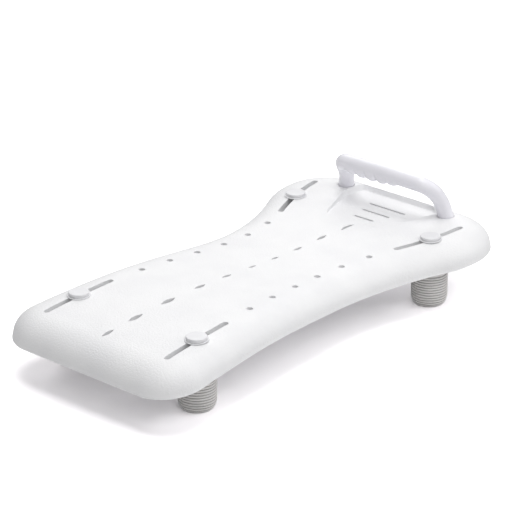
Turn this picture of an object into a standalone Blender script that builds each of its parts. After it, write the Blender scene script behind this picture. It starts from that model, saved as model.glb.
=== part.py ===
"""Bath board: a moulded seat board with a grab handle, a soap dish and four clamping feet.

Metres, +Z up. The origin is on the floor under the middle of the board. +X points to
the end that carries the handle, and +Y to the sitter's left when the handle is ahead.
"""
import math

import bmesh
import bpy
from mathutils import Matrix, Vector

# Board: overall sizes
BOARD_LENGTH = 0.706
BOARD_WIDTH = 0.3706           # between the two flares at the handle end
OPEN_END_WIDTH = 0.3368        # between the corner points of the open end
WAIST_WIDTH = 0.2538           # between the points that the waist curves round
TOP_HEIGHT = 0.0965            # mean height of the seating face over the floor
WALL = 0.003                   # moulded wall of the board

# Board: plan outline
WAIST_FROM_HANDLE_END = 0.2392
FLARE_FROM_HANDLE_END = 0.1187
CORNER_STEP_AT_HANDLE_END = 0.0022   # the end corners stand out from the flare by this
OPEN_CORNER_RADIUS = 0.0576
WAIST_RADIUS = 0.382
FLARE_RADIUS = 0.115
HANDLE_CORNER_RADIUS = 0.0885
END_BOW = 0.0010               # crown of the handle end

# Board: section at the edge
EDGE_INSET = 0.048             # width of the rounded shoulder
EDGE_DROP = 0.031              # height of the rounded shoulder
EDGE_POWER = 2.3               # 2 gives an ellipse, more gives a squarer shoulder
SKIRT = 0.0025                 # straight part below the shoulder
LIP_CHAMFER = 0.0008

# Board: the seating face rises and falls along the length
WAVE_HEIGHT = 0.0045
WAVE_LENGTH = 0.468
WAVE_NODE_FROM_HANDLE_END = 0.3783   # where the wave crosses the mean height
END_ROLL_LENGTH = 0.1016
END_ROLL_DROP = 0.0053

# Drain holes
SIDE_HOLE_COUNT = 6
SIDE_HOLE_PITCH = 0.0516
SIDE_HOLE_ROOM = 0.350646       # room between the slots that the pitch is drawn for
SIDE_HOLE_DIAMETER = 0.0092
SIDE_HOLE_FROM_EDGE = 0.0482
SIDE_HOLE_ROW_CENTRE = -0.0011
CENTRE_ROW_FROM_OPEN_END = 0.0534
CENTRE_ROW_FROM_HANDLE_END = 0.2164
CENTRE_ROW_STEPS = (53, 63, 63, 54, 53, 48, 49, 52)    # shares of the row's span
LEAF_LENGTHS = (0.023, 0.029, 0.029, 0.022, 0.018, 0.0145, 0.014, 0.017, 0.020)
LEAF_SLENDERNESS = 2.9         # length over width of a leaf-shaped hole
BENT_LEAF_FROM_HANDLE_END = 0.1665
BENT_LEAF_OFFSET = -0.0068     # from the centre line, to the right
BENT_LEAF_LENGTH = 0.0235
BENT_LEAF_WIDTH = 0.0052
BENT_LEAF_BOW = 0.0020
BENT_LEAF_TURN = math.radians(-6.4)

# Foot slots
OPEN_SLOT_LENGTH = 0.1257
OPEN_SLOT_FROM_END = 0.0458
OPEN_SLOT_FROM_EDGE = 0.0495
OPEN_SLOT_TOE_IN = math.radians(2.4)
HANDLE_SLOT_LENGTH = 0.122
HANDLE_SLOT_FROM_END = 0.1264  # middle of the slot to the board's end
HANDLE_SLOT_FROM_EDGE = 0.0500
HANDLE_SLOT_SPLAY = math.radians(14.5)
HANDLE_SLOT_RADIUS = 0.365
TRACK_WIDTH = 0.034
TRACK_WALL = 0.0028
TRACK_DEPTH = 0.0165           # underside of each track below the mean seating face

# Stiffening ribs under the seat
CROSS_RIB_DEPTH = 0.0120
LONG_RIB_DEPTH = 0.0104
RIB_THICKNESS = 0.0024
LONG_RIB_OFFSETS = (0.027, 0.064)

# Soap dish
DISH_FRONT_FROM_END = 0.1480
DISH_BACK_FROM_END = 0.0290
DISH_FRONT_HALF_WIDTH = 0.051
DISH_BELLY_HALF_WIDTH = 0.0790
DISH_BACK_HALF_WIDTH = 0.0715
DISH_BELLY_FROM_BACK = 0.038
DISH_DEPTH_AT_FRONT = 0.0009   # floor below the seating face, at the dish's two ends
DISH_DEPTH_AT_BACK = 0.0103
DISH_FILLET = 0.0020
DISH_RECESS_HEIGHT = 0.016     # reach of the recess above its own floor
DISH_WALL_SLOPE = 0.0040       # how far the dish wall leans out over its height
DISH_SLOT_WIDTH = 0.0040
DISH_SLOTS = ((0.039, 0.067), (0.065, 0.051), (0.093, 0.036))    # from back wall, length

# Handle
POST_SPACING = 0.1880
POST_FROM_END = 0.0490
POST_RADIUS = 0.0113
POST_FOOT_RADIUS = 0.0120
GRIP_RADIUS = 0.0118
HANDLE_RISE = 0.0504           # grip centre line over the seat of the posts
HANDLE_LEAN = 0.0275           # how far the grip stands in from its posts
HANDLE_SHOULDER_INSET = 0.0105  # how far each post leans in by its top
HANDLE_BEND_RADIUS = 0.0195
HANDLE_ARCH = 0.0033
FINGER_COUNT = 5
FINGER_PITCH = 0.0199
FINGER_DEPTH = 0.0048          # of the middle ridge; they get shallower to each side
FINGER_ROW_START = -0.0275     # notch nearest to the right-hand post
POST_SEAT_CLEARANCE = 0.0010   # ring of the recess round each post
POST_SEAT_DEPTH = 0.0010
POST_BOSS_RADIUS = 0.0105
POST_BOSS_DEPTH = 0.0188       # from the posts' seat down
INSERT_RADIUS = 0.0045
INSERT_LENGTH = 0.016
POST_SCREW_RADIUS = 0.0025
POST_SCREW_HEAD_RADIUS = 0.0048
POST_SCREW_HEAD_HEIGHT = 0.0034
POST_SCREW_ENTRY = 0.0120      # reach of the screw into the post
POST_WASHER_RADIUS = 0.0070
POST_WASHER_THICKNESS = 0.0012

# Clamping feet
CAP_RADIUS = 0.0145
CAP_HEIGHT = 0.0038
CAP_CHAMFER = 0.0007
FLANGE_RADIUS = 0.0166
FLANGE_THICKNESS = 0.0015
FLANGE_CHAMFER = 0.0004
BOLT_RADIUS = 0.0040           # its square neck is as wide as the shank is thick
BOLT_NECK_LENGTH = 0.0060      # below the seating face
BOLT_HEAD_RADIUS = 0.0085
BOLT_HEAD_HEIGHT = 0.0020
BOLT_TIP_BELOW_NUT = 0.0250
BOLT_TIP_CHAMFER = 0.0010
CLAMP_WASHER_RADIUS = 0.0165
CLAMP_WASHER_THICKNESS = 0.0020
HUB_BOSS_RADIUS = 0.0080
HUB_BOSS_HEIGHT = 0.0008
HUB_FLANGE_RADIUS = 0.0225
HUB_FLANGE_THICKNESS = 0.0030
HUB_RADIUS = 0.0187
HUB_WALL = 0.0032
HUB_ROOF = 0.0017              # left over the nut
NUT_ACROSS_FLATS = 0.0130
NUT_THICKNESS = 0.0062
SLEEVE_RADIUS = 0.0265
SLEEVE_SOLE_RADIUS = 0.0180
SLEEVE_SHOULDER_HEIGHT = 0.0150
SLEEVE_SOLE_THICKNESS = 0.0050
RING_PITCH = 0.00393
RING_DEPTH = 0.0016
RING_COUNT = 12                # the top of the sleeve, up inside the board, is plain

# Fits
GAP = 0.0003                   # between pieces that touch
BOLT_CLEARANCE = 0.0004        # round the bolt, in each hole that it passes
NECK_CLEARANCE = 0.0003        # on each side of the neck, in its slot
SLOT_WIDTH = 2 * (BOLT_RADIUS + NECK_CLEARANCE)

# Corners of the board: name, side along X, side along Y
CORNERS = (
    ("open_left", -1, 1),
    ("open_right", -1, -1),
    ("handle_left", 1, 1),
    ("handle_right", 1, -1),
)


# Scene

def clear_scene():
    """Remove every object that the scene starts with."""
    for item in list(bpy.data.objects):
        bpy.data.objects.remove(item, do_unlink=True)


def make_material(name, colour, roughness, metallic=0.0):
    """A Principled material with one plain colour."""
    material = bpy.data.materials.new(name)
    material.use_nodes = True
    shader = material.node_tree.nodes["Principled BSDF"]
    shader.inputs["Base Color"].default_value = (*colour, 1.0)
    shader.inputs["Roughness"].default_value = roughness
    shader.inputs["Metallic"].default_value = metallic
    material.diffuse_color = (*colour, 1.0)
    return material


def signed_volume(faces):
    """Volume inside closed faces: negative if they point inwards."""
    volume = 0.0
    for face in faces:
        first, *rest = [vert.co for vert in face.verts]
        volume += sum(first.dot(a.cross(b)) for a, b in zip(rest, rest[1:])) / 6
    return volume


def turn_outward(bm):
    """Point the faces of every separate solid outwards, thin slivers or not."""
    bmesh.ops.recalc_face_normals(bm, faces=bm.faces[:])
    left = set(bm.faces)
    while left:
        island = [left.pop()]
        for face in island:
            for edge in face.edges:
                fresh = [other for other in edge.link_faces if other in left]
                left.difference_update(fresh)
                island += fresh
        if signed_volume(island) < 0.0:
            bmesh.ops.reverse_faces(bm, faces=island)


def add_object(name, bm, material=None, parent=None, smooth_angle=40.0):
    """Turn a bmesh into an object, with smooth shading broken at sharp edges."""
    turn_outward(bm)
    mesh = bpy.data.meshes.new(name)
    bm.to_mesh(mesh)
    bm.free()
    mesh.shade_smooth()
    mesh.set_sharp_from_angle(angle=math.radians(smooth_angle))
    if material:
        mesh.materials.append(material)
    item = bpy.data.objects.new(name, mesh)
    bpy.context.scene.collection.objects.link(item)
    item.parent = parent
    return item


def add_empty(name, location, parent=None):
    """A bare empty, used as the origin of what moves with it."""
    item = bpy.data.objects.new(name, None)
    item.empty_display_size = 0.02
    item.location = location
    item.parent = parent
    bpy.context.scene.collection.objects.link(item)
    return item


def hide_as_cutter(item):
    """Mark an object that only shapes others."""
    item.hide_render = True
    item.display_type = "WIRE"


def add_boolean(item, operation, operand):
    """Add an exact Boolean modifier."""
    modifier = item.modifiers.new(operand.name, "BOOLEAN")
    modifier.operation = operation
    modifier.object = operand
    modifier.solver = "EXACT"


# Levels that hang from the seating face

def above_seat(step):
    """A level clear over the seat, at which ribs and cutters end before they are trimmed.

    Each kind of rib has a step of its own, so that no two tops lie in one plane.
    """
    return TOP_HEIGHT + 0.020 + 0.001 * step


def below_board(step):
    """A level clear under the lip of the board, a little lower with each step."""
    return TOP_HEIGHT - 0.050 - 0.001 * step


# Plan outline of the board

def limit_radii(corners, radii):
    """Scale down each fillet that its two straight runs have no room for."""
    halves = []
    for before, corner, after in zip(corners, corners[1:], corners[2:]):
        halves.append((before - corner).angle(after - corner) / 2)
    reaches = [radius / math.tan(half) for radius, half in zip(radii, halves)]
    shares = [1.0] * len(radii)
    for index in range(len(corners) - 1):
        run = (corners[index + 1] - corners[index]).length
        ends = [i for i in (index - 1, index) if 0 <= i < len(radii)]
        needed = sum(reaches[i] for i in ends)
        if needed > 0.98 * run:
            for i in ends:
                shares[i] = min(shares[i], 0.98 * run / needed)
    return [radius * share for radius, share in zip(radii, shares)]


def rounded_path(corners, radii, angle_step, length_step):
    """Points and outward normals along a polyline whose inner corners are arcs.

    The path runs clockwise round the board seen from above, so its outward side is
    on its left.
    """
    path = []

    def add_straight(start, end):
        steps = max(1, math.ceil(abs(end.x - start.x) / length_step))
        normal = (end - start).orthogonal().normalized()
        for index in range(steps + 1):
            path.append((start.lerp(end, index / steps), normal))

    last = corners[0]
    fitted = limit_radii(corners, radii)
    for before, corner, after, radius in zip(corners, corners[1:], corners[2:], fitted):
        back = (before - corner).normalized()
        ahead = (after - corner).normalized()
        half = back.angle(ahead) / 2
        start = corner + back * radius / math.tan(half)
        end = corner + ahead * radius / math.tan(half)
        centre = corner + (back + ahead).normalized() * radius / math.sin(half)
        add_straight(last, start)
        turn = math.pi - 2 * half
        steps = max(2, math.ceil(max(turn / angle_step, turn * radius / length_step)))
        spoke = start - centre
        side = math.copysign(1.0, spoke.dot((start - last).orthogonal()))
        for index in range(1, steps):
            swing = Matrix.Rotation(-side * turn * index / steps, 2)
            arm = swing @ spoke
            path.append((centre + arm, side * arm.normalized()))
        last = end
    add_straight(last, corners[-1])
    tidy = [path[0]]
    for point, normal in path[1:]:
        if (point - tidy[-1][0]).length > 0.0005:
            tidy.append((point, normal))
    return tidy


def half_outline():
    """Left half of the plan outline, from the open end to the handle end."""
    open_x = -BOARD_LENGTH / 2
    handle_x = BOARD_LENGTH / 2
    flare_y = BOARD_WIDTH / 2
    corners = [
        Vector((open_x, 0.0)),
        Vector((open_x, OPEN_END_WIDTH / 2)),
        Vector((handle_x - WAIST_FROM_HANDLE_END, WAIST_WIDTH / 2)),
        Vector((handle_x - FLARE_FROM_HANDLE_END, flare_y)),
        Vector((handle_x - END_BOW, flare_y + CORNER_STEP_AT_HANDLE_END)),
        Vector((handle_x, 0.0)),
    ]
    radii = [OPEN_CORNER_RADIUS, WAIST_RADIUS, FLARE_RADIUS, HANDLE_CORNER_RADIUS]
    return rounded_path(corners, radii, math.radians(13.0), 0.036)


def edge_at(x):
    """Half width of the board at x, with the outward normal of the outline there."""
    path = half_outline()
    for (first, first_normal), (second, second_normal) in zip(path, path[1:]):
        if first.x <= x <= second.x and second.x > first.x:
            share = (x - first.x) / (second.x - first.x)
            normal = first_normal.lerp(second_normal, share).normalized()
            return first.y + (second.y - first.y) * share, normal
    raise ValueError("x is past the ends of the board")


# Height of the seating face

def face_height(x):
    """Height of the seating face over the floor, away from the rounded edge."""
    node = BOARD_LENGTH / 2 - WAVE_NODE_FROM_HANDLE_END
    wave = -WAVE_HEIGHT * math.sin(2 * math.pi * (x - node) / WAVE_LENGTH)
    into_roll = max(0.0, END_ROLL_LENGTH - BOARD_LENGTH / 2 - x) / END_ROLL_LENGTH
    return TOP_HEIGHT + wave - END_ROLL_DROP * into_roll ** 2


def shoulder_point(turn, offset):
    """Inset and drop of the rounded shoulder, moved in square to itself by offset.

    turn runs from 0 at the outer edge to 1 where the shoulder meets the seating face.
    """
    angle = turn * math.pi / 2
    power = 2 / EDGE_POWER
    across = max(math.cos(angle), 0.0) ** power
    up = max(math.sin(angle), 0.0) ** power
    inset = EDGE_INSET * (1 - across)
    drop = EDGE_DROP * (1 - up)
    slope_in = across ** (EDGE_POWER - 1) / EDGE_INSET
    slope_up = up ** (EDGE_POWER - 1) / EDGE_DROP
    size = math.hypot(slope_in, slope_up)
    return inset + offset * slope_in / size, drop + offset * slope_up / size


def ring_points(inset, drop, path):
    """One closed ring of board points, at an inset from the outline and a drop."""
    upper = []
    for point, normal in path:
        moved = point - normal * inset
        upper.append(Vector((moved.x, max(moved.y, 0.0), face_height(moved.x) - drop)))
    lower = [Vector((p.x, -p.y, p.z)) for p in reversed(upper[1:-1])]
    return upper, lower


def add_ring(bm, inset, drop, path):
    """Add a ring's vertices, in order round the board."""
    upper, lower = ring_points(inset, drop, path)
    return [bm.verts.new(p) for p in upper + lower]


def bridge(bm, first, second):
    """Quads between two rings of equal length."""
    count = len(first)
    for index in range(count):
        after = (index + 1) % count
        bm.faces.new((first[index], first[after], second[after], second[index]))


def cap_in_strips(bm, ring, least_step=0.0004):
    """Close a ring with flat strips across the board, so that the cap follows the wave."""
    half = (len(ring) + 2) // 2
    upper = ring[:half]
    lower = [ring[0]] + ring[:half - 2:-1]
    start = 0
    for index in range(1, half):
        step = upper[index].co.x - upper[start].co.x
        rest = upper[-1].co.x - upper[index].co.x
        if index == half - 1 or (step > least_step and rest > least_step):
            face = upper[start:index + 1] + lower[start:index + 1][::-1]
            bm.faces.new(list(dict.fromkeys(face)))
            start = index


def split_warped_faces(bm):
    """Split every face that isn't flat into triangles."""
    bmesh.ops.connect_verts_nonplanar(bm, angle_limit=0.0001, faces=bm.faces[:])


def build_shell(path):
    """The open tray: rounded outside, an inside one wall away, and a flat lip."""
    bm = bmesh.new()
    deepest = EDGE_DROP + SKIRT
    turns = (0.0, 0.13, 0.27, 0.43, 0.62, 0.80, 1.0)
    outer = [(LIP_CHAMFER, deepest), (0.0, deepest - LIP_CHAMFER)]
    outer += [shoulder_point(turn, 0.0) for turn in turns]
    inner = [shoulder_point(turn, WALL) for turn in (1.0, 0.62, 0.28, 0.0)]
    inner += [(WALL, deepest)]
    rings = [add_ring(bm, inset, drop, path) for inset, drop in outer]
    inner_rings = [add_ring(bm, inset, drop, path) for inset, drop in inner]
    for first, second in zip(rings, rings[1:]):
        bridge(bm, first, second)
    cap_in_strips(bm, rings[-1])
    for first, second in zip(inner_rings, inner_rings[1:]):
        bridge(bm, first, second)
    cap_in_strips(bm, inner_rings[0])
    bridge(bm, inner_rings[-1], rings[0])
    split_warped_faces(bm)
    return bm


def build_fill(path):
    """Everything below the middle of the wall, down to one level: trims the ribs."""
    bottom_height = TOP_HEIGHT - EDGE_DROP - SKIRT - 0.005
    bm = bmesh.new()
    middle = [shoulder_point(turn, WALL / 2) for turn in (1.0, 0.55, 0.22, 0.0)]
    rings = [add_ring(bm, inset, drop, path) for inset, drop in middle]
    base = []
    for vert in rings[-1]:
        base.append(bm.verts.new((vert.co.x, vert.co.y, bottom_height)))
    cap_in_strips(bm, rings[0])
    for first, second in zip(rings, rings[1:]):
        bridge(bm, first, second)
    bridge(bm, rings[-1], base)
    bm.faces.new(base)
    split_warped_faces(bm)
    return bm


# Simple solids

def add_prism(bm, outline, bottom, top):
    """A prism over a plan outline. bottom and top give a height for each (x, y)."""
    low = [bm.verts.new((x, y, bottom(x, y))) for x, y in outline]
    high = [bm.verts.new((x, y, top(x, y))) for x, y in outline]
    bridge(bm, low, high)
    bm.faces.new(low[::-1])
    bm.faces.new(high)


def level(height):
    """A height that is the same everywhere."""
    return lambda x, y: height


def circle(centre, radius, sides):
    """Plan points of a circle."""
    turn = 2 * math.pi / sides
    return [
        (centre[0] + radius * math.cos(turn * (i + 0.5)),
         centre[1] + radius * math.sin(turn * (i + 0.5)))
        for i in range(sides)
    ]


def add_lathe(bm, profile, sides, tilt=None):
    """A turned solid from (radius, height) points, run down the outside.

    The profile is closed, so a bored piece comes back up its bore. A point at
    radius 0 becomes a pole.
    """
    rings = []
    for radius, height in profile:
        if radius == 0.0:
            rings.append([bm.verts.new((0.0, 0.0, height))])
            continue
        ring = [bm.verts.new((x, y, height)) for x, y in circle((0.0, 0.0), radius, sides)]
        rings.append(ring)
    for first, second in zip(rings, rings[1:] + rings[:1]):
        if len(first) == 1 and len(second) == 1:
            continue
        for index in range(sides):
            after = (index + 1) % sides
            corners = [first[index % len(first)], first[after % len(first)],
                       second[after % len(second)], second[index % len(second)]]
            bm.faces.new(list(dict.fromkeys(corners)))
    if tilt:
        made = [vert for ring in rings for vert in ring]
        bmesh.ops.transform(bm, matrix=tilt, verts=made)


def move(bm, start, offset):
    """Move the vertices made since start."""
    bm.verts.ensure_lookup_table()
    bmesh.ops.translate(bm, vec=offset, verts=bm.verts[start:])


# Slots: where they run, and the tracks under them

def slot_middle(side_x, side_y):
    """Plan point at the middle of a corner's slot."""
    if side_x < 0:
        x = -BOARD_LENGTH / 2 + OPEN_SLOT_FROM_END + OPEN_SLOT_LENGTH / 2
        inset = OPEN_SLOT_FROM_EDGE
    else:
        x = BOARD_LENGTH / 2 - HANDLE_SLOT_FROM_END
        inset = HANDLE_SLOT_FROM_EDGE
    half_width, normal = edge_at(x)
    y = half_width - inset / normal.y
    return Vector((x, side_y * y))


def slot_centre_of_arc(side_y):
    """Plan point that a curved slot runs round, on the board's other side."""
    middle = slot_middle(1, side_y)
    angle = HANDLE_SLOT_SPLAY
    x = middle.x + HANDLE_SLOT_RADIUS * math.sin(angle)
    y = middle.y - side_y * HANDLE_SLOT_RADIUS * math.cos(angle)
    return Vector((x, y))


def slot_heading(side_x, side_y):
    """Angle from +X to a slot, at its middle."""
    if side_x < 0:
        return -side_y * OPEN_SLOT_TOE_IN
    return side_y * HANDLE_SLOT_SPLAY


def slot_point(side_x, side_y, along, across):
    """Plan point at a distance along the slot's middle line and across it."""
    middle = slot_middle(side_x, side_y)
    if side_x < 0:
        angle = slot_heading(side_x, side_y)
        ahead = Vector((math.cos(angle), math.sin(angle)))
        return middle + ahead * along + Vector((-ahead.y, ahead.x)) * across
    centre = slot_centre_of_arc(side_y)
    arm = middle - centre
    swing = Matrix.Rotation(-side_y * along / HANDLE_SLOT_RADIUS, 2)
    arm = swing @ arm
    return centre + arm * (1 + side_y * across / HANDLE_SLOT_RADIUS)


def slot_length(side_x):
    """Overall length of a slot."""
    return OPEN_SLOT_LENGTH if side_x < 0 else HANDLE_SLOT_LENGTH


def slot_slope(side_x):
    """Rise of the seating face along a slot, per metre of X."""
    half = slot_length(side_x) / 2
    first = slot_point(side_x, 1, -half, 0.0)
    last = slot_point(side_x, 1, half, 0.0)
    return (face_height(last.x) - face_height(first.x)) / (last.x - first.x)


def stadium(side_x, side_y, half_width, half_length, end_sides=6):
    """Plan outline round a slot's middle line, with round ends."""
    runs = 1 if side_x < 0 else 8
    straight = half_length - half_width
    points = []
    for index in range(runs + 1):
        along = -straight + 2 * straight * index / runs
        points.append((along, -half_width))
    for index in range(1, end_sides):
        angle = -math.pi / 2 + math.pi * index / end_sides
        points.append((straight + half_width * math.cos(angle), half_width * math.sin(angle)))
    for index in range(runs + 1):
        along = straight - 2 * straight * index / runs
        points.append((along, half_width))
    for index in range(1, end_sides):
        angle = math.pi / 2 + math.pi * index / end_sides
        points.append((-straight + half_width * math.cos(angle), half_width * math.sin(angle)))
    return [slot_point(side_x, side_y, along, across)[:] for along, across in points]


def track_bottom(side_x):
    """Height of a track's underside, which runs parallel to its slot."""
    middle = slot_middle(side_x, 1)
    slope = slot_slope(side_x)
    return lambda x, y: TOP_HEIGHT - TRACK_DEPTH + slope * (x - middle.x)


def add_ring_wall(bm, outer, inner, bottom, top):
    """A wall between two plan outlines of equal length."""
    loops = []
    for outline, height in ((outer, bottom), (outer, top), (inner, top), (inner, bottom)):
        loops.append([bm.verts.new((x, y, height(x, y))) for x, y in outline])
    for first, second in zip(loops, loops[1:] + loops[:1]):
        bridge(bm, first, second)


def build_tracks():
    """Two walls round each slot, for the clamp washer to bear on."""
    bm = bmesh.new()
    above = level(above_seat(0))
    for _, side_x, side_y in CORNERS:
        reach = slot_length(side_x) / 2
        channel = SLOT_WIDTH / 2 + TRACK_WALL
        beyond = TRACK_WIDTH / 2 - SLOT_WIDTH / 2
        outer = TRACK_WIDTH / 2
        bottom = track_bottom(side_x)
        add_prism(bm, stadium(side_x, side_y, channel, reach + TRACK_WALL), bottom, above)
        add_ring_wall(
            bm,
            stadium(side_x, side_y, outer, reach + beyond),
            stadium(side_x, side_y, outer - TRACK_WALL, reach + beyond - TRACK_WALL),
            bottom, above)
    return bm


# Drain holes

def side_hole_pitch():
    """Pitch of the drain holes, which closes up or spreads with the room between the slots."""
    first = slot_point(-1, 1, slot_length(-1) / 2, 0.0).x
    last = slot_point(1, 1, -slot_length(1) / 2, 0.0).x
    return SIDE_HOLE_PITCH * (last - first) / SIDE_HOLE_ROOM


def side_hole_points():
    """Plan points of the two outer rows of drain holes."""
    points = []
    pitch = side_hole_pitch()
    for index in range(SIDE_HOLE_COUNT):
        x = SIDE_HOLE_ROW_CENTRE + (index - (SIDE_HOLE_COUNT - 1) / 2) * pitch
        half_width, normal = edge_at(x)
        y = half_width - SIDE_HOLE_FROM_EDGE / normal.y
        points += [(x, y), (x, -y)]
    return points


def leaf_hole_points():
    """Middle of each straight leaf-shaped hole along the centre line."""
    first = -BOARD_LENGTH / 2 + CENTRE_ROW_FROM_OPEN_END
    last = BOARD_LENGTH / 2 - CENTRE_ROW_FROM_HANDLE_END
    share = (last - first) / sum(CENTRE_ROW_STEPS)
    points = [first]
    for step in CENTRE_ROW_STEPS:
        points.append(points[-1] + step * share)
    return points


def leaf_outline(length, width, bow=0.0, points_per_side=6, tip=0.0012):
    """A leaf on the origin: two shallow arcs that meet in blunt tips, bowed if asked."""
    upper = []
    lower = []
    for index in range(points_per_side + 1):
        share = -1 + 2 * index / points_per_side
        swell = ((width - tip) * (1 - share * share) + tip) / 2
        middle = bow * (1 - share * share)
        upper.append((share * length / 2, middle + swell))
        lower.append((share * length / 2, middle - swell))
    return lower + upper[::-1]


def leaf_holes():
    """Plan outline of every leaf-shaped hole, the bent one by the soap dish last."""
    outlines = []
    for x, length in zip(leaf_hole_points(), LEAF_LENGTHS):
        leaf = leaf_outline(length, length / LEAF_SLENDERNESS)
        outlines.append([(x + along, across) for along, across in leaf])
    bent = leaf_outline(BENT_LEAF_LENGTH, BENT_LEAF_WIDTH, BENT_LEAF_BOW)
    centre = Vector((BOARD_LENGTH / 2 - BENT_LEAF_FROM_HANDLE_END, BENT_LEAF_OFFSET))
    swing = Matrix.Rotation(BENT_LEAF_TURN, 2)
    outlines.append([(centre + swing @ Vector(point))[:] for point in bent])
    return outlines


# Soap dish

def dish_outline(grow, arc_sides=4):
    """Plan outline of the soap dish, moved out by grow."""
    end = BOARD_LENGTH / 2
    front = end - DISH_FRONT_FROM_END
    back = end - DISH_BACK_FROM_END
    corners = [
        Vector((front - grow, 0.0)),
        Vector((front - grow, DISH_FRONT_HALF_WIDTH + grow * 0.7)),
        Vector((back - DISH_BELLY_FROM_BACK, DISH_BELLY_HALF_WIDTH + grow)),
        Vector((back + grow, DISH_BACK_HALF_WIDTH + grow)),
        Vector((back + grow, 0.0)),
    ]
    radii = [0.018 + grow, 0.030 + grow, 0.008 + grow]
    path = rounded_path(corners, radii, math.pi / 2 / arc_sides, 0.2)
    upper = [point[:] for point, _ in path]
    return upper + [(x, -y) for x, y in reversed(upper[1:-1])]


def dish_floor(x):
    """Height of the soap dish's flat floor at x: it falls towards the handle end."""
    front = BOARD_LENGTH / 2 - DISH_FRONT_FROM_END
    back = BOARD_LENGTH / 2 - DISH_BACK_FROM_END
    front_floor = face_height(front) - DISH_DEPTH_AT_FRONT
    back_floor = face_height(back) - DISH_DEPTH_AT_BACK
    return front_floor + (back_floor - front_floor) * (x - front) / (back - front)


def add_dish_recess(bm):
    """The recess of the soap dish: a flat floor, a small fillet and leaning walls."""
    levels = [
        (-DISH_FILLET, 0.0),
        (-DISH_FILLET * 0.3, DISH_FILLET * 0.3),
        (0.0, DISH_FILLET),
        (DISH_WALL_SLOPE, DISH_RECESS_HEIGHT),
    ]
    rings = []
    for grow, lift in levels:
        outline = dish_outline(grow)
        rings.append([bm.verts.new((x, y, dish_floor(x) + lift)) for x, y in outline])
    bm.faces.new(rings[0])
    for first, second in zip(rings, rings[1:]):
        bridge(bm, first, second)
    bm.faces.new(rings[-1])


# Ribs, bosses and pans under the seat

def build_long_ribs():
    """Ribs along the board, whose lower edges follow the seating face."""
    bm = bmesh.new()
    reach = BOARD_LENGTH / 2 - WALL / 2
    top = above_seat(1)
    steps = 14
    for offset in LONG_RIB_OFFSETS:
        for side in (1, -1):
            loops = []
            for index in range(steps + 1):
                x = -reach + 2 * reach * index / steps
                low = face_height(x) - LONG_RIB_DEPTH
                loop = []
                for dy, z in ((-1, low), (1, low), (1, top), (-1, top)):
                    y = side * offset + dy * RIB_THICKNESS / 2
                    loop.append(bm.verts.new((x, y, z)))
                loops.append(loop)
            bm.faces.new(loops[0])
            bm.faces.new(loops[-1])
            for first, second in zip(loops, loops[1:]):
                bridge(bm, first, second)
    return bm


def build_cross_ribs():
    """Ribs across the board, midway between the holes of the centre row."""
    bm = bmesh.new()
    holes = leaf_hole_points() + [BOARD_LENGTH / 2 - BENT_LEAF_FROM_HANDLE_END]
    for before, after in zip(holes, holes[1:]):
        x = (before + after) / 2
        low = face_height(x) - CROSS_RIB_DEPTH
        half = RIB_THICKNESS / 2
        reach = BOARD_WIDTH
        outline = [(x - half, -reach), (x + half, -reach), (x + half, reach), (x - half, reach)]
        add_prism(bm, outline, level(low), level(above_seat(2)))
    return bm


def post_points():
    """Plan points of the two handle posts."""
    x = BOARD_LENGTH / 2 - POST_FROM_END
    return [(x, POST_SPACING / 2), (x, -POST_SPACING / 2)]


def post_seat_height():
    """Height of the flat seat that each handle post stands on."""
    return face_height(post_points()[0][0]) - POST_SEAT_DEPTH


def post_boss_bottom():
    """Height of the underside of each screw boss."""
    return post_seat_height() - POST_BOSS_DEPTH


def build_bosses():
    """A screw boss under each handle post, and the pan under the soap dish."""
    bm = bmesh.new()
    for centre in post_points():
        outline = circle(centre, POST_BOSS_RADIUS, 14)
        add_prism(bm, outline, level(post_boss_bottom()), level(above_seat(3)))
    add_prism(bm, dish_outline(WALL), lambda x, y: dish_floor(x) - WALL, level(above_seat(4)))
    return bm


def build_cuts():
    """Every hole through the board, as separate closed cutters."""
    bm = bmesh.new()
    low = below_board(0)
    high = above_seat(10)
    for centre in side_hole_points():
        add_prism(bm, circle(centre, SIDE_HOLE_DIAMETER / 2, 12), level(low), level(high))
    for outline in leaf_holes():
        add_prism(bm, outline, level(low), level(high))
    for _, side_x, side_y in CORNERS:
        outline = stadium(side_x, side_y, SLOT_WIDTH / 2, slot_length(side_x) / 2)
        add_prism(bm, outline, level(low), level(high))
    for centre in post_points():
        seat = post_seat_height()
        recess = POST_FOOT_RADIUS + POST_SEAT_CLEARANCE
        bore = POST_SCREW_RADIUS + BOLT_CLEARANCE
        start = len(bm.verts)
        add_lathe(bm, [(0.0, high), (recess, high), (recess, seat),
                       (bore, seat), (bore, low), (0.0, low)], 18)
        move(bm, start, Vector((centre[0], centre[1], 0.0)))
    add_dish_slots(bm)
    return bm


def add_dish_slots(bm):
    """Drain slots through the floor of the soap dish."""
    back = BOARD_LENGTH / 2 - DISH_BACK_FROM_END
    half_width = DISH_SLOT_WIDTH / 2
    for from_back, length in DISH_SLOTS:
        straight = length / 2 - half_width
        outline = []
        for side in (1, -1):
            for index in range(5):
                angle = math.pi * index / 4
                outline.append((back - from_back + side * half_width * math.cos(angle),
                                side * (straight + half_width * math.sin(angle))))
        add_prism(bm, outline, level(below_board(0)), level(above_seat(10)))


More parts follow.
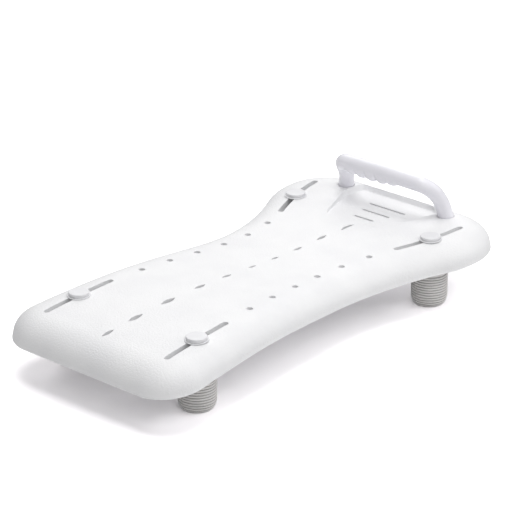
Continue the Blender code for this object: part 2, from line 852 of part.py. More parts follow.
def build_board(material):
    """The moulded board with its ribs, tracks, holes and soap dish."""
    path = half_outline()
    fill = add_object("guide_fill", build_fill(path))
    tracks = add_object("guide_tracks", build_tracks())
    cross_ribs = add_object("guide_cross_ribs", build_cross_ribs())
    bosses = add_object("guide_bosses", build_bosses())
    underside = add_object("guide_underside", build_long_ribs())
    add_boolean(underside, "UNION", cross_ribs)
    add_boolean(underside, "UNION", tracks)
    add_boolean(underside, "UNION", bosses)
    add_boolean(underside, "INTERSECT", fill)
    recess_mesh = bmesh.new()
    add_dish_recess(recess_mesh)
    recess = add_object("guide_dish_recess", recess_mesh)
    cuts = add_object("guide_cuts", build_cuts())
    for guide in (fill, tracks, cross_ribs, bosses, underside, recess, cuts):
        hide_as_cutter(guide)
    board = add_object("board", build_shell(path), material)
    add_boolean(board, "UNION", underside)
    add_boolean(board, "DIFFERENCE", recess)
    add_boolean(board, "DIFFERENCE", cuts)
    merge = board.modifiers.new("merge_flat_faces", "DECIMATE")
    merge.decimate_type = "DISSOLVE"
    merge.angle_limit = math.radians(0.3)
    return board


# Handle

def handle_path():
    """Centre line of the handle, from the right-hand post to the left-hand one.

    It is drawn flat first, as (y, height) from the seat, then leaned towards the
    sitter more and more with height. Each point also carries its tube radius.
    """
    foot = Vector((POST_SPACING / 2, 0.0))
    shoulder = Vector((POST_SPACING / 2 - HANDLE_SHOULDER_INSET, HANDLE_RISE))
    crown = Vector((0.0, HANDLE_RISE + HANDLE_ARCH))
    back = (foot - shoulder).normalized()
    ahead = (crown - shoulder).normalized()
    half = back.angle(ahead) / 2
    reach = HANDLE_BEND_RADIUS / math.tan(half)
    centre = shoulder + (back + ahead).normalized() * HANDLE_BEND_RADIUS / math.sin(half)
    start = shoulder + back * reach
    end = shoulder + ahead * reach
    turn = math.pi - 2 * half
    flat = [(foot, POST_FOOT_RADIUS)]
    flat.append((foot.lerp(start, 0.16), POST_RADIUS))
    flat.append((foot.lerp(start, 0.58), POST_RADIUS))
    steps = 7
    for index in range(steps + 1):
        swing = Matrix.Rotation(turn * index / steps, 2)
        radius = POST_RADIUS + (GRIP_RADIUS - POST_RADIUS) * index / steps
        flat.append((centre + swing @ (start - centre), radius))
    return flat, end, crown


def lean(y, height):
    """Place a flat handle point in the board's frame."""
    x, _ = post_points()[0]
    share = max(height, 0.0) / HANDLE_RISE
    return Vector((x - HANDLE_LEAN * share ** 2, y, post_seat_height() + GAP + height))


def finger_bulge(y):
    """Depth of the finger ridges under the grip at y."""
    place = (y - FINGER_ROW_START) / FINGER_PITCH
    if place <= 0.0 or place >= FINGER_COUNT:
        return 0.0
    fade = math.sqrt(math.sin(math.pi * place / FINGER_COUNT))
    return FINGER_DEPTH * fade * math.sin(math.pi * (place % 1.0)) ** 0.6


def handle_rings():
    """Centres and radii of every ring along the handle, right post first."""
    flat, end, crown = handle_path()
    right = [(-point.x, point.y, radius) for point, radius in flat]
    left = [(point.x, point.y, radius) for point, radius in reversed(flat)]
    steps_per_finger = 4
    stations = []
    step = FINGER_PITCH / steps_per_finger
    for index in range(FINGER_COUNT * steps_per_finger + 1):
        stations.append(FINGER_ROW_START + index * step)
    limit = end.x - 0.003
    plain = -end.x + (end.x + FINGER_ROW_START) / 2
    row = [plain] + [y for y in stations if -limit < y < limit]
    grip = []
    for y in row:
        share = 1 - abs(y) / end.x
        grip.append((y, end.y + (crown.y - end.y) * share, GRIP_RADIUS))
    return right + grip + left


def build_handle(sides=18):
    """The handle: a swept tube with finger ridges, and a bore up each post."""
    bm = bmesh.new()
    rows = handle_rings()
    centres = [lean(y, height) for y, height, _ in rows]
    rings = []
    for index, (y, _, radius) in enumerate(rows):
        before = centres[max(index - 1, 0)]
        after = centres[min(index + 1, len(rows) - 1)]
        ahead = (after - before).normalized()
        if index in (0, len(rows) - 1):
            ahead = Vector((0.0, 0.0, 1.0 if index == 0 else -1.0))
        outward = Vector((1.0, 0.0, 0.0))
        outward = (outward - ahead * outward.dot(ahead)).normalized()
        upward = outward.cross(ahead)
        ring = []
        for side in range(sides):
            angle = 2 * math.pi * side / sides
            facing_down = max(0.0, -math.sin(angle)) ** 1.5
            size = radius + finger_bulge(y) * facing_down
            offset = outward * math.cos(angle) + upward * math.sin(angle)
            ring.append(bm.verts.new(centres[index] + offset * size))
        rings.append(ring)
    for first, second in zip(rings, rings[1:]):
        bridge(bm, first, second)
    bm.faces.new(rings[0])
    bm.faces.new(rings[-1])
    return bm


def build_post_bores():
    """Blind bores up the two posts, for the threaded inserts."""
    bm = bmesh.new()
    seat = post_seat_height()
    for centre in post_points():
        outline = circle(centre, INSERT_RADIUS + GAP, 12)
        top = seat + INSERT_LENGTH + 3 * GAP
        add_prism(bm, outline, level(seat - POST_SEAT_DEPTH), level(top))
    return bm


def add_at_posts(name, profile, sides, material):
    """The same turned piece on the axis of each handle post, as two objects."""
    for side, (x, y) in zip(("left", "right"), post_points()):
        bm = bmesh.new()
        add_lathe(bm, profile, sides)
        item = add_object(name + "_" + side, bm, material)
        item.location = (x, y, 0.0)


def build_handle_assembly(white, steel, brass):
    """The handle with the inserts, screws and washers that hold it down."""
    handle = add_object("handle", build_handle(), white, smooth_angle=50.0)
    bores = add_object("guide_post_bores", build_post_bores())
    hide_as_cutter(bores)
    add_boolean(handle, "DIFFERENCE", bores)
    seat = post_seat_height()
    bore = POST_SCREW_RADIUS + GAP
    insert_bottom = seat + 2 * GAP
    insert_top = insert_bottom + INSERT_LENGTH
    insert = [(INSERT_RADIUS, insert_top), (INSERT_RADIUS, insert_bottom),
              (bore, insert_bottom), (bore, insert_top)]
    add_at_posts("handle_insert", insert, 12, brass)
    washer_top = post_boss_bottom() - GAP
    washer_bottom = washer_top - POST_WASHER_THICKNESS
    washer = [(POST_WASHER_RADIUS, washer_top), (POST_WASHER_RADIUS, washer_bottom),
              (bore, washer_bottom), (bore, washer_top)]
    add_at_posts("handle_washer", washer, 14, steel)
    head_top = washer_bottom - GAP
    head = POST_SCREW_HEAD_HEIGHT
    tip = seat + POST_SCREW_ENTRY
    screw = [(0.0, tip), (POST_SCREW_RADIUS, tip),
             (POST_SCREW_RADIUS, head_top), (POST_SCREW_HEAD_RADIUS, head_top),
             (POST_SCREW_HEAD_RADIUS, head_top - head * 0.45),
             (POST_SCREW_HEAD_RADIUS * 0.7, head_top - head * 0.88), (0.0, head_top - head)]
    add_at_posts("handle_screw", screw, 10, steel)


# Clamping feet

def knob_levels(side_x):
    """Heights of the pieces over a slot, measured from the floor."""
    middle = slot_middle(side_x, 1)
    face = face_height(middle.x)
    slope = abs(slot_slope(side_x))
    flange_middle = face + GAP + FLANGE_THICKNESS / 2
    cap_bottom = flange_middle + FLANGE_THICKNESS / 2 + GAP + slope * CAP_RADIUS
    return face, flange_middle, cap_bottom


def along_slot_tilt(side_x, side_y, height):
    """Tilt a washer to lie along its slot, and lift it to height."""
    lift = Matrix.Translation((0.0, 0.0, height))
    return lift @ Matrix.Rotation(-math.atan(slot_slope(side_x)), 4, "Y")


def build_cap(side_x):
    """The round cap over the bolt's head."""
    _, _, bottom = knob_levels(side_x)
    top = bottom + CAP_HEIGHT
    pocket = BOLT_HEAD_RADIUS + GAP
    pocket_top = bottom + BOLT_HEAD_HEIGHT + GAP
    bm = bmesh.new()
    add_lathe(bm, [
        (0.0, top), (CAP_RADIUS - CAP_CHAMFER, top), (CAP_RADIUS, top - CAP_CHAMFER),
        (CAP_RADIUS, bottom), (pocket, bottom), (pocket, pocket_top), (0.0, pocket_top),
    ], 20)
    return bm


def build_flange(side_x, side_y):
    """The thin flange that spreads the clamp load on the seating face."""
    _, middle, _ = knob_levels(side_x)
    half = FLANGE_THICKNESS / 2
    bore = BOLT_RADIUS * math.sqrt(2) + BOLT_CLEARANCE
    bm = bmesh.new()
    add_lathe(bm, [
        (FLANGE_RADIUS - FLANGE_CHAMFER, half), (FLANGE_RADIUS, half - FLANGE_CHAMFER),
        (FLANGE_RADIUS, -half), (bore, -half), (bore, half),
    ], 20, along_slot_tilt(side_x, side_y, middle))
    return bm


def build_bolt(side_x, side_y):
    """A carriage bolt: flat head, square neck in the slot, round shank below."""
    face, _, cap_bottom = knob_levels(side_x)
    head_bottom = cap_bottom - GAP / 2
    head_top = head_bottom + BOLT_HEAD_HEIGHT
    neck_bottom = face - BOLT_NECK_LENGTH
    bm = bmesh.new()
    sides = 16
    rings = []

    def add_round(radius, height):
        rings.append([bm.verts.new((x, y, height)) for x, y in circle((0, 0), radius, sides)])

    def add_square(height):
        ring = []
        for x, y in circle((0, 0), 1.0, sides):
            size = BOLT_RADIUS / max(abs(x), abs(y))
            ring.append(bm.verts.new((x * size, y * size, height)))
        rings.append(ring)

    add_round(BOLT_HEAD_RADIUS, head_top)
    add_round(BOLT_HEAD_RADIUS, head_bottom)
    add_square(head_bottom)
    add_square(neck_bottom)
    tip = nut_bottom() - BOLT_TIP_BELOW_NUT
    add_round(BOLT_RADIUS, neck_bottom - BOLT_TIP_CHAMFER / 2)
    add_round(BOLT_RADIUS, tip + BOLT_TIP_CHAMFER)
    add_round(BOLT_RADIUS - BOLT_TIP_CHAMFER, tip)
    bm.faces.new(rings[0])
    for first, second in zip(rings, rings[1:]):
        bridge(bm, first, second)
    bm.faces.new(rings[-1])
    heading = Matrix.Rotation(slot_heading(side_x, side_y), 4, "Z")
    bmesh.ops.transform(bm, matrix=heading, verts=bm.verts[:])
    return bm


def build_clamp_washer(side_x, side_y):
    """The washer between the track and the foot."""
    half = CLAMP_WASHER_THICKNESS / 2
    bore = BOLT_RADIUS + BOLT_CLEARANCE
    height = TOP_HEIGHT - TRACK_DEPTH - GAP - half
    bm = bmesh.new()
    add_lathe(bm, [
        (CLAMP_WASHER_RADIUS, half), (CLAMP_WASHER_RADIUS, -half),
        (bore, -half), (bore, half),
    ], 16, along_slot_tilt(side_x, side_y, height))
    return bm


def hub_top():
    """Height of the hub's flange: its boss just clears the tilted clamp washer."""
    steepest = max(abs(slot_slope(-1)), abs(slot_slope(1)))
    washer_bottom = TOP_HEIGHT - TRACK_DEPTH - GAP - CLAMP_WASHER_THICKNESS
    return washer_bottom - steepest * HUB_BOSS_RADIUS - GAP - HUB_BOSS_HEIGHT


def hub_roof_height():
    """Height of the hollow's roof in the hub, at which the nut's pocket starts."""
    return hub_top() - HUB_ROOF - NUT_THICKNESS - 2 * GAP


def nut_bottom():
    """Height of the nut's underside."""
    return hub_roof_height() + GAP


def build_hub():
    """The plastic core of a foot, open below, with a thick top that holds the nut."""
    top = hub_top()
    flange_bottom = top - HUB_FLANGE_THICKNESS
    bore = BOLT_RADIUS + BOLT_CLEARANCE
    inner = HUB_RADIUS - HUB_WALL
    bottom = SLEEVE_SOLE_THICKNESS + GAP
    roof = hub_roof_height()
    bm = bmesh.new()
    add_lathe(bm, [
        (bore, top + HUB_BOSS_HEIGHT), (HUB_BOSS_RADIUS, top + HUB_BOSS_HEIGHT),
        (HUB_BOSS_RADIUS, top), (HUB_FLANGE_RADIUS - 0.001, top),
        (HUB_FLANGE_RADIUS, top - 0.001), (HUB_FLANGE_RADIUS, flange_bottom),
        (HUB_RADIUS, flange_bottom), (HUB_RADIUS, bottom),
        (inner, bottom), (inner, roof), (bore, roof),
    ], 16)
    return bm


def hexagon(across_flats):
    """Plan outline of a hexagon, with a point in the middle of each flat's halves."""
    outline = []
    for x, y in circle((0.0, 0.0), 1.0, 12):
        angle = (math.atan2(y, x) + math.pi / 6) % (math.pi / 3) - math.pi / 6
        size = across_flats / 2 / math.cos(angle)
        outline.append((x * size, y * size))
    return outline


def build_nut():
    """The hexagon nut in the roof of the hub."""
    bore = circle((0.0, 0.0), BOLT_RADIUS + BOLT_CLEARANCE, 12)
    bottom = nut_bottom()
    bm = bmesh.new()
    add_ring_wall(bm, hexagon(NUT_ACROSS_FLATS), bore, level(bottom), level(bottom + NUT_THICKNESS))
    return bm


def build_nut_pocket():
    """Pocket for the nut, cut up into the hub's roof from below."""
    start = hub_roof_height() - HUB_ROOF
    end = hub_top() - HUB_ROOF
    bm = bmesh.new()
    add_prism(bm, hexagon(NUT_ACROSS_FLATS + 2 * GAP), level(start), level(end))
    return bm


def sleeve_radius(height):
    """Outer radius of the rubber sleeve, drawn in round its lower end."""
    if height >= SLEEVE_SHOULDER_HEIGHT:
        return SLEEVE_RADIUS
    share = 1 - height / SLEEVE_SHOULDER_HEIGHT
    return SLEEVE_RADIUS - (SLEEVE_RADIUS - SLEEVE_SOLE_RADIUS) * share ** 2.6


def build_sleeve():
    """The ribbed rubber sleeve: a cup with rings all the way up its outside."""
    top = hub_top() - HUB_FLANGE_THICKNESS - GAP
    inner = HUB_RADIUS + GAP
    profile = [(inner, top), (SLEEVE_RADIUS - RING_DEPTH, top)]
    for index in reversed(range(RING_COUNT)):
        groove = (index + 1) * RING_PITCH
        crest = groove - RING_PITCH / 2
        profile.append((sleeve_radius(groove) - RING_DEPTH, groove))
        profile.append((sleeve_radius(crest), crest))
    profile += [(sleeve_radius(0.0), 0.0), (0.0, 0.0)]
    profile += [(0.0, SLEEVE_SOLE_THICKNESS), (inner, SLEEVE_SOLE_THICKNESS)]
    bm = bmesh.new()
    add_lathe(bm, profile, 16)
    return bm


def build_foot(name, side_x, side_y, white, rubber, plastic, steel, brass):
    """One clamping foot, from the cap on the seat to the sleeve on the floor."""
    middle = slot_middle(side_x, side_y)
    pivot = slot_centre_of_arc(side_y) if side_x > 0 else middle
    height = track_bottom(side_x)(pivot.x, pivot.y)
    travel = add_empty("travel_" + name, (pivot.x, pivot.y, height))
    axis = add_empty("axis_" + name, (middle.x - pivot.x, middle.y - pivot.y, -height), travel)
    add_object("knob_cap_" + name, build_cap(side_x), white, axis)
    add_object("slot_flange_" + name, build_flange(side_x, side_y), white, axis)
    add_object("clamp_bolt_" + name, build_bolt(side_x, side_y), steel, axis)
    add_object("clamp_washer_" + name, build_clamp_washer(side_x, side_y), plastic, axis)
    hub = add_object("foot_hub_" + name, build_hub(), plastic, axis)
    pocket = add_object("guide_nut_pocket_" + name, build_nut_pocket(), None, axis)
    hide_as_cutter(pocket)
    add_boolean(hub, "DIFFERENCE", pocket)
    add_object("foot_nut_" + name, build_nut(), brass, axis)
    add_object("foot_sleeve_" + name, build_sleeve(), rubber, axis)


def main():
    """Build the whole bath board."""
    clear_scene()
    seat_white = make_material("moulded polypropylene", (0.90, 0.90, 0.91), 0.55)
    handle_white = make_material("glossy polypropylene", (0.78, 0.77, 0.82), 0.30)
    cap_white = make_material("cap polypropylene", (0.82, 0.82, 0.83), 0.45)
    grey_plastic = make_material("grey polypropylene", (0.45, 0.45, 0.46), 0.50)
    rubber = make_material("grey rubber", (0.42, 0.41, 0.40), 0.80)
    steel = make_material("stainless steel", (0.60, 0.60, 0.60), 0.30, 1.0)
    brass = make_material("brass", (0.70, 0.55, 0.28), 0.35, 1.0)
    build_board(seat_white)
    build_handle_assembly(handle_white, steel, brass)
    for name, side_x, side_y in CORNERS:
        build_foot(name, side_x, side_y, cap_white, rubber, grey_plastic, steel, brass)


main()
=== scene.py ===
"""Looks of a bath board: a moulded white seat with a grab handle, on four clamping feet.

Metres, +Z up, in the frame of the CAD model: the origin is on the floor under the
middle of the board, +X points to the handle end. Each visible piece is modelled again,
smooth and with its small radii, in the place of its CAD node. The hidden bolts, nuts and
inserts are the CAD nodes themselves with a finish of their own.
"""
import logging
import math
from dataclasses import dataclass
from enum import Enum
from typing import Callable, Sequence

import bmesh
import bpy
from bmesh.types import BMEdge, BMesh, BMVert
from bpy.types import Material, Node, NodeSocket, NodeTree, Object
from mathutils import Matrix, Vector

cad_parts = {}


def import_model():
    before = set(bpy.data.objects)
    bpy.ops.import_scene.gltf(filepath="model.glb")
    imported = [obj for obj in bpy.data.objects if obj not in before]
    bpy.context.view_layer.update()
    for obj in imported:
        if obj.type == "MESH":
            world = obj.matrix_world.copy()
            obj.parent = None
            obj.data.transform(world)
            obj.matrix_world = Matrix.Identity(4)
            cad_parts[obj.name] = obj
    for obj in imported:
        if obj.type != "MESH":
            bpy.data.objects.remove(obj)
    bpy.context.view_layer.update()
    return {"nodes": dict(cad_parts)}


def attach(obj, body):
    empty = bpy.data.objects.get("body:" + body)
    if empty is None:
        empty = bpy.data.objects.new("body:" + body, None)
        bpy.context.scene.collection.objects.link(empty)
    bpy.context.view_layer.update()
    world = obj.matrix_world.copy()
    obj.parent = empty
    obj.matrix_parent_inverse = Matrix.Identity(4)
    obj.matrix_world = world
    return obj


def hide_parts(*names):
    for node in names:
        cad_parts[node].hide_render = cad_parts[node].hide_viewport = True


LOG = logging.getLogger("bath_board")
GAP = 0.0003                   # between pieces that touch
MERGE = 1e-6                   # vertices closer than this become one
SHORT_STEP = 0.0005            # an outline has no shorter steps
SHARP = 38.0                   # degrees of an edge that stays crisp
QUARTER = math.pi / 2
MIX_FACTOR, MIX_FIRST, MIX_SECOND, MIX_RESULT = 0, 6, 7, 2  # colour sockets of a Mix node
WAVE_SPEED = 20.0              # radians of a wave texture in one unit, at a scale of 1

Profile = Sequence[tuple[float, float]]
Outline = Sequence[Vector]
Height = float | Callable[[Vector], float]


# Names


class Slot(Enum):
    """Material slots of the record."""

    SEAT = "seat_white"
    HANDLE = "handle_white"
    CAP = "cap_white"
    GREY = "grey_plastic"
    RUBBER = "rubber"
    STEEL = "steel"
    BRASS = "brass"


class Corner(Enum):
    """Corners of the board, each with its side along X and along Y."""

    OPEN_LEFT = (-1, 1)
    OPEN_RIGHT = (-1, -1)
    HANDLE_LEFT = (1, 1)
    HANDLE_RIGHT = (1, -1)

    @property
    def label(self) -> str:
        """Name of the corner in node and body names."""
        return self.name.lower()

    @property
    def is_open(self) -> bool:
        """Whether the corner is at the open end, away from the handle."""
        return self.value[0] < 0

    @property
    def side(self) -> int:
        """1 on the left, -1 on the right."""
        return self.value[1]


# Materials


def linear(code: str) -> tuple[float, ...]:
    """Turn an sRGB hex colour into linear RGBA.

    Args:
        code: Six hex digits after a hash sign.

    Returns:
        Linear red, green, blue and an alpha of 1.
    """
    shares = [int(code[start:start + 2], 16) / 255 for start in (1, 3, 5)]
    return (*[s / 12.92 if s <= 0.04045 else ((s + 0.055) / 1.055) ** 2.4 for s in shares], 1.0)


def empty_tree(owner: Material | bpy.types.World) -> NodeTree:
    """Give a material or a world an empty node tree."""
    owner.use_nodes = True
    owner.node_tree.nodes.clear()
    return owner.node_tree


def add_node(tree: NodeTree, kind: str, inputs: dict | None = None, **settings: str) -> Node:
    """Add a shader node.

    Args:
        tree: Node tree that it goes into.
        kind: Type name of the node.
        inputs: Value of each socket, or the output socket that is linked to it.
        settings: Properties of the node.

    Returns:
        The new node.
    """
    node = tree.nodes.new(kind)
    for name, value in settings.items():
        setattr(node, name, value)
    for name, value in (inputs or {}).items():
        if isinstance(value, NodeSocket):
            tree.links.new(value, node.inputs[name])
        else:
            node.inputs[name].default_value = value
    return node


@dataclass(frozen=True)
class Canvas:
    """A material in the making: its nodes, its shader and its Object coordinates."""

    tree: NodeTree
    shader: Node
    place: NodeSocket

    def shade(self, pattern: NodeSocket, window: tuple[float, float], tones: tuple[str, str],
              share: float = 1.0) -> None:
        """Colour the surface with two tones that follow a pattern.

        Args:
            pattern: Grey values over the surface.
            window: Values between which the first tone gives way to the second.
            tones: Both tones.
            share: Most that the second tone takes over.
        """
        amount = add_node(self.tree, "ShaderNodeMapRange", {
            "Value": pattern, "From Min": window[0], "From Max": window[1], "To Max": share})
        mix = add_node(self.tree, "ShaderNodeMix", {
            MIX_FACTOR: amount.outputs["Result"], MIX_FIRST: linear(tones[0]),
            MIX_SECOND: linear(tones[1])}, data_type="RGBA")
        self.tree.links.new(mix.outputs[MIX_RESULT], self.shader.inputs["Base Color"])

    def mottle(self, colour: str, other: str, size: float, share: float) -> None:
        """Let a colour drift a little towards another one.

        Args:
            colour: The colour.
            other: The other one.
            size: Width of the patches.
            share: Most that the other colour takes over.
        """
        cloud = add_node(self.tree, "ShaderNodeTexNoise", {
            "Vector": self.place, "Scale": 1 / size, "Detail": 2.0, "Roughness": 0.5})
        self.shade(cloud.outputs["Fac"], (0.35, 0.65), (colour, other), share)

    def emboss(self, pattern: NodeSocket, depth: float, strength: float) -> None:
        """Raise a pattern as a bump.

        Args:
            pattern: Grey values over the surface.
            depth: Height of the bump.
            strength: Share of that height that shows.
        """
        bump = add_node(self.tree, "ShaderNodeBump", {
            "Height": pattern, "Distance": depth, "Strength": strength})
        self.tree.links.new(bump.outputs["Normal"], self.shader.inputs["Normal"])

    def grain(self, size: float, depth: float, strength: float, detail: float = 2.0) -> None:
        """Roughen the surface with an even bump.

        Args:
            size: Width of one grain.
            depth: Height of the grain.
            strength: Share of that height that shows.
            detail: Octaves of finer grain.
        """
        noise = add_node(self.tree, "ShaderNodeTexNoise", {
            "Vector": self.place, "Scale": 1 / size, "Detail": detail, "Roughness": 0.55})
        self.emboss(noise.outputs["Fac"], depth, strength)

    def bands(self, pitch: float, waver: float = 0.0) -> NodeSocket:
        """Grey bands stacked up the Z axis, one pitch apart, that waver or run true."""
        return add_node(self.tree, "ShaderNodeTexWave", {
            "Vector": self.place, "Scale": 2 * math.pi / (WAVE_SPEED * pitch),
            "Distortion": waver}, bands_direction="Z").outputs["Fac"]


@dataclass(frozen=True)
class Finish:
    """What every finish has: a name, a colour and how glossy it is."""

    name: str
    colour: str
    roughness: float
    ior: float = 1.49
    metallic: float = 0.0

    def material(self) -> Material:
        """Make the material, with a Principled shader on Object coordinates."""
        material = bpy.data.materials.new(self.name)
        material.diffuse_color = linear(self.colour)
        tree = empty_tree(material)
        shader = add_node(tree, "ShaderNodeBsdfPrincipled", {
            "Base Color": linear(self.colour), "Roughness": self.roughness,
            "Metallic": self.metallic})
        if not self.metallic:
            shader.inputs["IOR"].default_value = self.ior
        add_node(tree, "ShaderNodeOutputMaterial", {"Surface": shader.outputs["BSDF"]})
        self.dress(Canvas(tree, shader, add_node(tree, "ShaderNodeTexCoord").outputs["Object"]))
        return material

    def dress(self, canvas: Canvas) -> None:
        """Add the pattern of the finish to the material in the making."""


@dataclass(frozen=True)
class SparkGrainPolypropylene(Finish):
    """Polypropylene moulded in a spark-eroded tool.

    The pits of the tool give an even, dull white with no sharp reflection, and a
    leathery grain about 2.8 mm wide that shows where the light grazes it.
    """

    def dress(self, canvas: Canvas) -> None:
        """Add a faint drift of tone and the leathery grain."""
        canvas.mottle(self.colour, "#EEEEF0", size=0.060, share=0.6)
        canvas.grain(size=0.0028, depth=0.0010, strength=0.60, detail=3.0)


@dataclass(frozen=True)
class GlossPolypropylene(Finish):
    """Polypropylene moulded in a polished tool.

    It gives the eye soft, broad highlights that waver a little where the wall has
    shrunk over its thick sections, about 25 mm apart.
    """

    def dress(self, canvas: Canvas) -> None:
        """Add the slow waver of the surface and a faint drift of tone."""
        canvas.mottle(self.colour, "#F1F0F7", size=0.030, share=0.5)
        canvas.grain(size=0.025, depth=0.0002, strength=0.20, detail=0.0)


@dataclass(frozen=True)
class SatinPolypropylene(Finish):
    """Polypropylene from a finely blasted tool.

    It is smoother than the seat, so the edges carry a soft line of light.
    """

    def dress(self, canvas: Canvas) -> None:
        """Add a very fine grain and a faint drift of tone."""
        canvas.mottle(self.colour, "#E2E2E5", size=0.012, share=0.5)
        canvas.grain(size=0.0006, depth=0.00005, strength=0.35)


@dataclass(frozen=True)
class MouldedRubber(Finish):
    """Thermoplastic rubber, moulded and left as it comes.

    It is dull, and the grooves between its ribs are painted darker as shade, so the ribs read
    as pale rings.
    """

    # painted shade: the darker tone of the grooves between the ribs
    groove: str = "#B2AFAD"
    ring_pitch: float = 0.00393    # of the sleeve's ribs, which start at the floor

    def dress(self, canvas: Canvas) -> None:
        """Paint shade into the grooves, which lie one ring pitch apart up the sleeve."""
        rings = canvas.bands(self.ring_pitch)
        # painted shade: each groove takes the darker tone, each crest the rubber's own colour
        canvas.shade(rings, window=(0.0, 0.4), tones=(self.groove, self.colour))


@dataclass(frozen=True)
class PlatedSteel(Finish):
    """Bright zinc-plated steel, as it leaves the barrel.

    The plating is fine-grained, so reflections are soft and a little cloudy.
    """

    def dress(self, canvas: Canvas) -> None:
        """Add the cloudiness of the plating."""
        canvas.mottle(self.colour, "#9FA3A8", size=0.002, share=0.8)
        canvas.grain(size=0.0007, depth=0.00003, strength=0.4)


@dataclass(frozen=True)
class TurnedBrass(Finish):
    """Brass turned on a lathe, whose fine rings stretch each highlight along the axis.

    The rings are really 0.2 mm apart, and are drawn 2.5 mm apart so that they can show.
    """

    ring_pitch: float = 0.0025

    def dress(self, canvas: Canvas) -> None:
        """Add the tool rings, which run round the upright axis."""
        rings = canvas.bands(self.ring_pitch, waver=0.4)
        canvas.emboss(rings, depth=0.00002, strength=0.5)


class Wardrobe:
    """Every finish of the board, made once."""

    def __init__(self) -> None:
        """Make the materials."""
        finishes = {
            Slot.SEAT: SparkGrainPolypropylene("spark-grained polypropylene", "#F5F5F6", 0.50),
            Slot.HANDLE: GlossPolypropylene("glossy polypropylene", "#F7F6FC", 0.16),
            Slot.CAP: SatinPolypropylene("satin polypropylene", "#EAEAEC", 0.40),
            Slot.GREY: SatinPolypropylene("grey polypropylene", "#B4B4B6", 0.45),
            Slot.RUBBER: MouldedRubber("grey thermoplastic rubber", "#F0EEED", 0.70, 1.52),
            Slot.STEEL: PlatedSteel("zinc-plated steel", "#B9BCC0", 0.32, metallic=1.0),
            Slot.BRASS: TurnedBrass("turned brass", "#C9A35A", 0.30, metallic=1.0),
        }
        self.materials = {slot: finish.material() for slot, finish in finishes.items()}

    def hang(self, item: Object, slot: Slot) -> None:
        """Give an object its finish.

        Args:
            item: The object.
            slot: Slot of the record that it takes its finish from.
        """
        item.data.materials.clear()
        item.data.materials.append(self.materials[slot])

    def dress(self, item: Object, slot: Slot, body: str, node: str) -> Object:
        """Give a piece its finish, its body and its CAD node.

        Args:
            item: The piece.
            slot: Slot of the record that it takes its finish from.
            body: Body that it moves with.
            node: CAD node that it stands for.

        Returns:
            The piece.
        """
        self.hang(item, slot)
        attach(item, body)
        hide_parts(node)
        return item


# Outlines and profiles


def fillet(before: Vector, corner: Vector, after: Vector,
           radius: float) -> tuple[Vector, Vector, Vector, float]:
    """Find the arc that rounds a corner.

    Args:
        before: Point before the corner.
        corner: The corner.
        after: Point after it.
        radius: Radius of the arc.

    Returns:
        Start, centre and end of the arc, and the angle that it turns.
    """
    back = (before - corner).normalized()
    ahead = (after - corner).normalized()
    half = back.angle(ahead) / 2
    centre = corner + (back + ahead).normalized() * radius / math.sin(half)
    start = corner + back * radius / math.tan(half)
    return start, centre, corner + ahead * radius / math.tan(half), math.pi - 2 * half


def round_edge(radius: float, steps: int, sweep: float = QUARTER) -> list[tuple[float, float]]:
    """Points on a round edge, from its upright side towards its flat one.

    Args:
        radius: Radius of the edge.
        steps: Runs of the arc.
        sweep: Angle that it turns.

    Returns:
        How far each point is in from the upright side, and down from the flat one.
    """
    turns = [sweep * index / steps for index in range(steps + 1)]
    return [(radius * (1 - math.cos(turn)), radius * (1 - math.sin(turn))) for turn in turns]


def rounded(profile: Profile, radii: dict[int, float], steps: int = 5) -> list[tuple[float, ...]]:
    """Round corners of a profile.

    Args:
        profile: Radius and height of each point.
        radii: Fillet radius by index of the corner.
        steps: Runs of each fillet.

    Returns:
        The profile with each named corner replaced by its arc.
    """
    points = [Vector(point) for point in profile]
    path: list[tuple[float, ...]] = []
    for index, corner in enumerate(points):
        if index not in radii:
            path.append(corner[:])
            continue
        after = points[(index + 1) % len(points)]
        start, centre, end, _ = fillet(points[index - 1], corner, after, radii[index])
        turn = (start - centre).angle_signed(end - centre)
        for step in range(steps + 1):
            swing = Matrix.Rotation(-turn * step / steps, 2)
            path.append((centre + swing @ (start - centre))[:])
    return path


def rounded_path(corners: Outline, radii: Sequence[float], angle_step: float,
                 run: float) -> list[tuple[Vector, Vector]]:
    """Points and outward normals along a polyline whose inner corners are arcs.

    Args:
        corners: Corner points, clockwise seen from above.
        radii: Radius of each inner corner.
        angle_step: Most that one step of an arc turns.
        run: Longest step along the path.

    Returns:
        Each point with its normal, which is on the left of the path.
    """
    path: list[tuple[Vector, Vector]] = []

    def add_straight(start: Vector, end: Vector) -> None:
        """Add evenly spaced points from start to end."""
        steps = max(1, math.ceil((end - start).length / run))
        normal = (end - start).orthogonal().normalized()
        path.extend((start.lerp(end, index / steps), normal) for index in range(steps + 1))

    last = corners[0]
    for before, corner, after, radius in zip(corners, corners[1:], corners[2:], radii):
        start, centre, end, turn = fillet(before, corner, after, radius)
        add_straight(last, start)
        steps = max(2, math.ceil(max(turn / angle_step, turn * radius / run)))
        spoke = start - centre
        side = math.copysign(1.0, spoke.dot((start - last).orthogonal()))
        for index in range(1, steps):
            arm = Matrix.Rotation(-side * turn * index / steps, 2) @ spoke
            path.append((centre + arm, side * arm.normalized()))
        last = end
    add_straight(last, corners[-1])
    tidy = [path[0]]
    for point, normal in path[1:]:
        if (point - tidy[-1][0]).length > SHORT_STEP:
            tidy.append((point, normal))
    return tidy


def with_mirror(half: Outline) -> list[Vector]:
    """Close the half of an outline on the left side with its image on the right."""
    return [*half, *[Vector((p.x, -p.y, *p[2:])) for p in reversed(half[1:-1])]]


def lift(outline: Outline, height: Height) -> list[Vector]:
    """Raise a plan outline to a height, which may be a function of the point."""
    return [Vector((p.x, p.y, height(p) if callable(height) else height)) for p in outline]


# Mesh tools


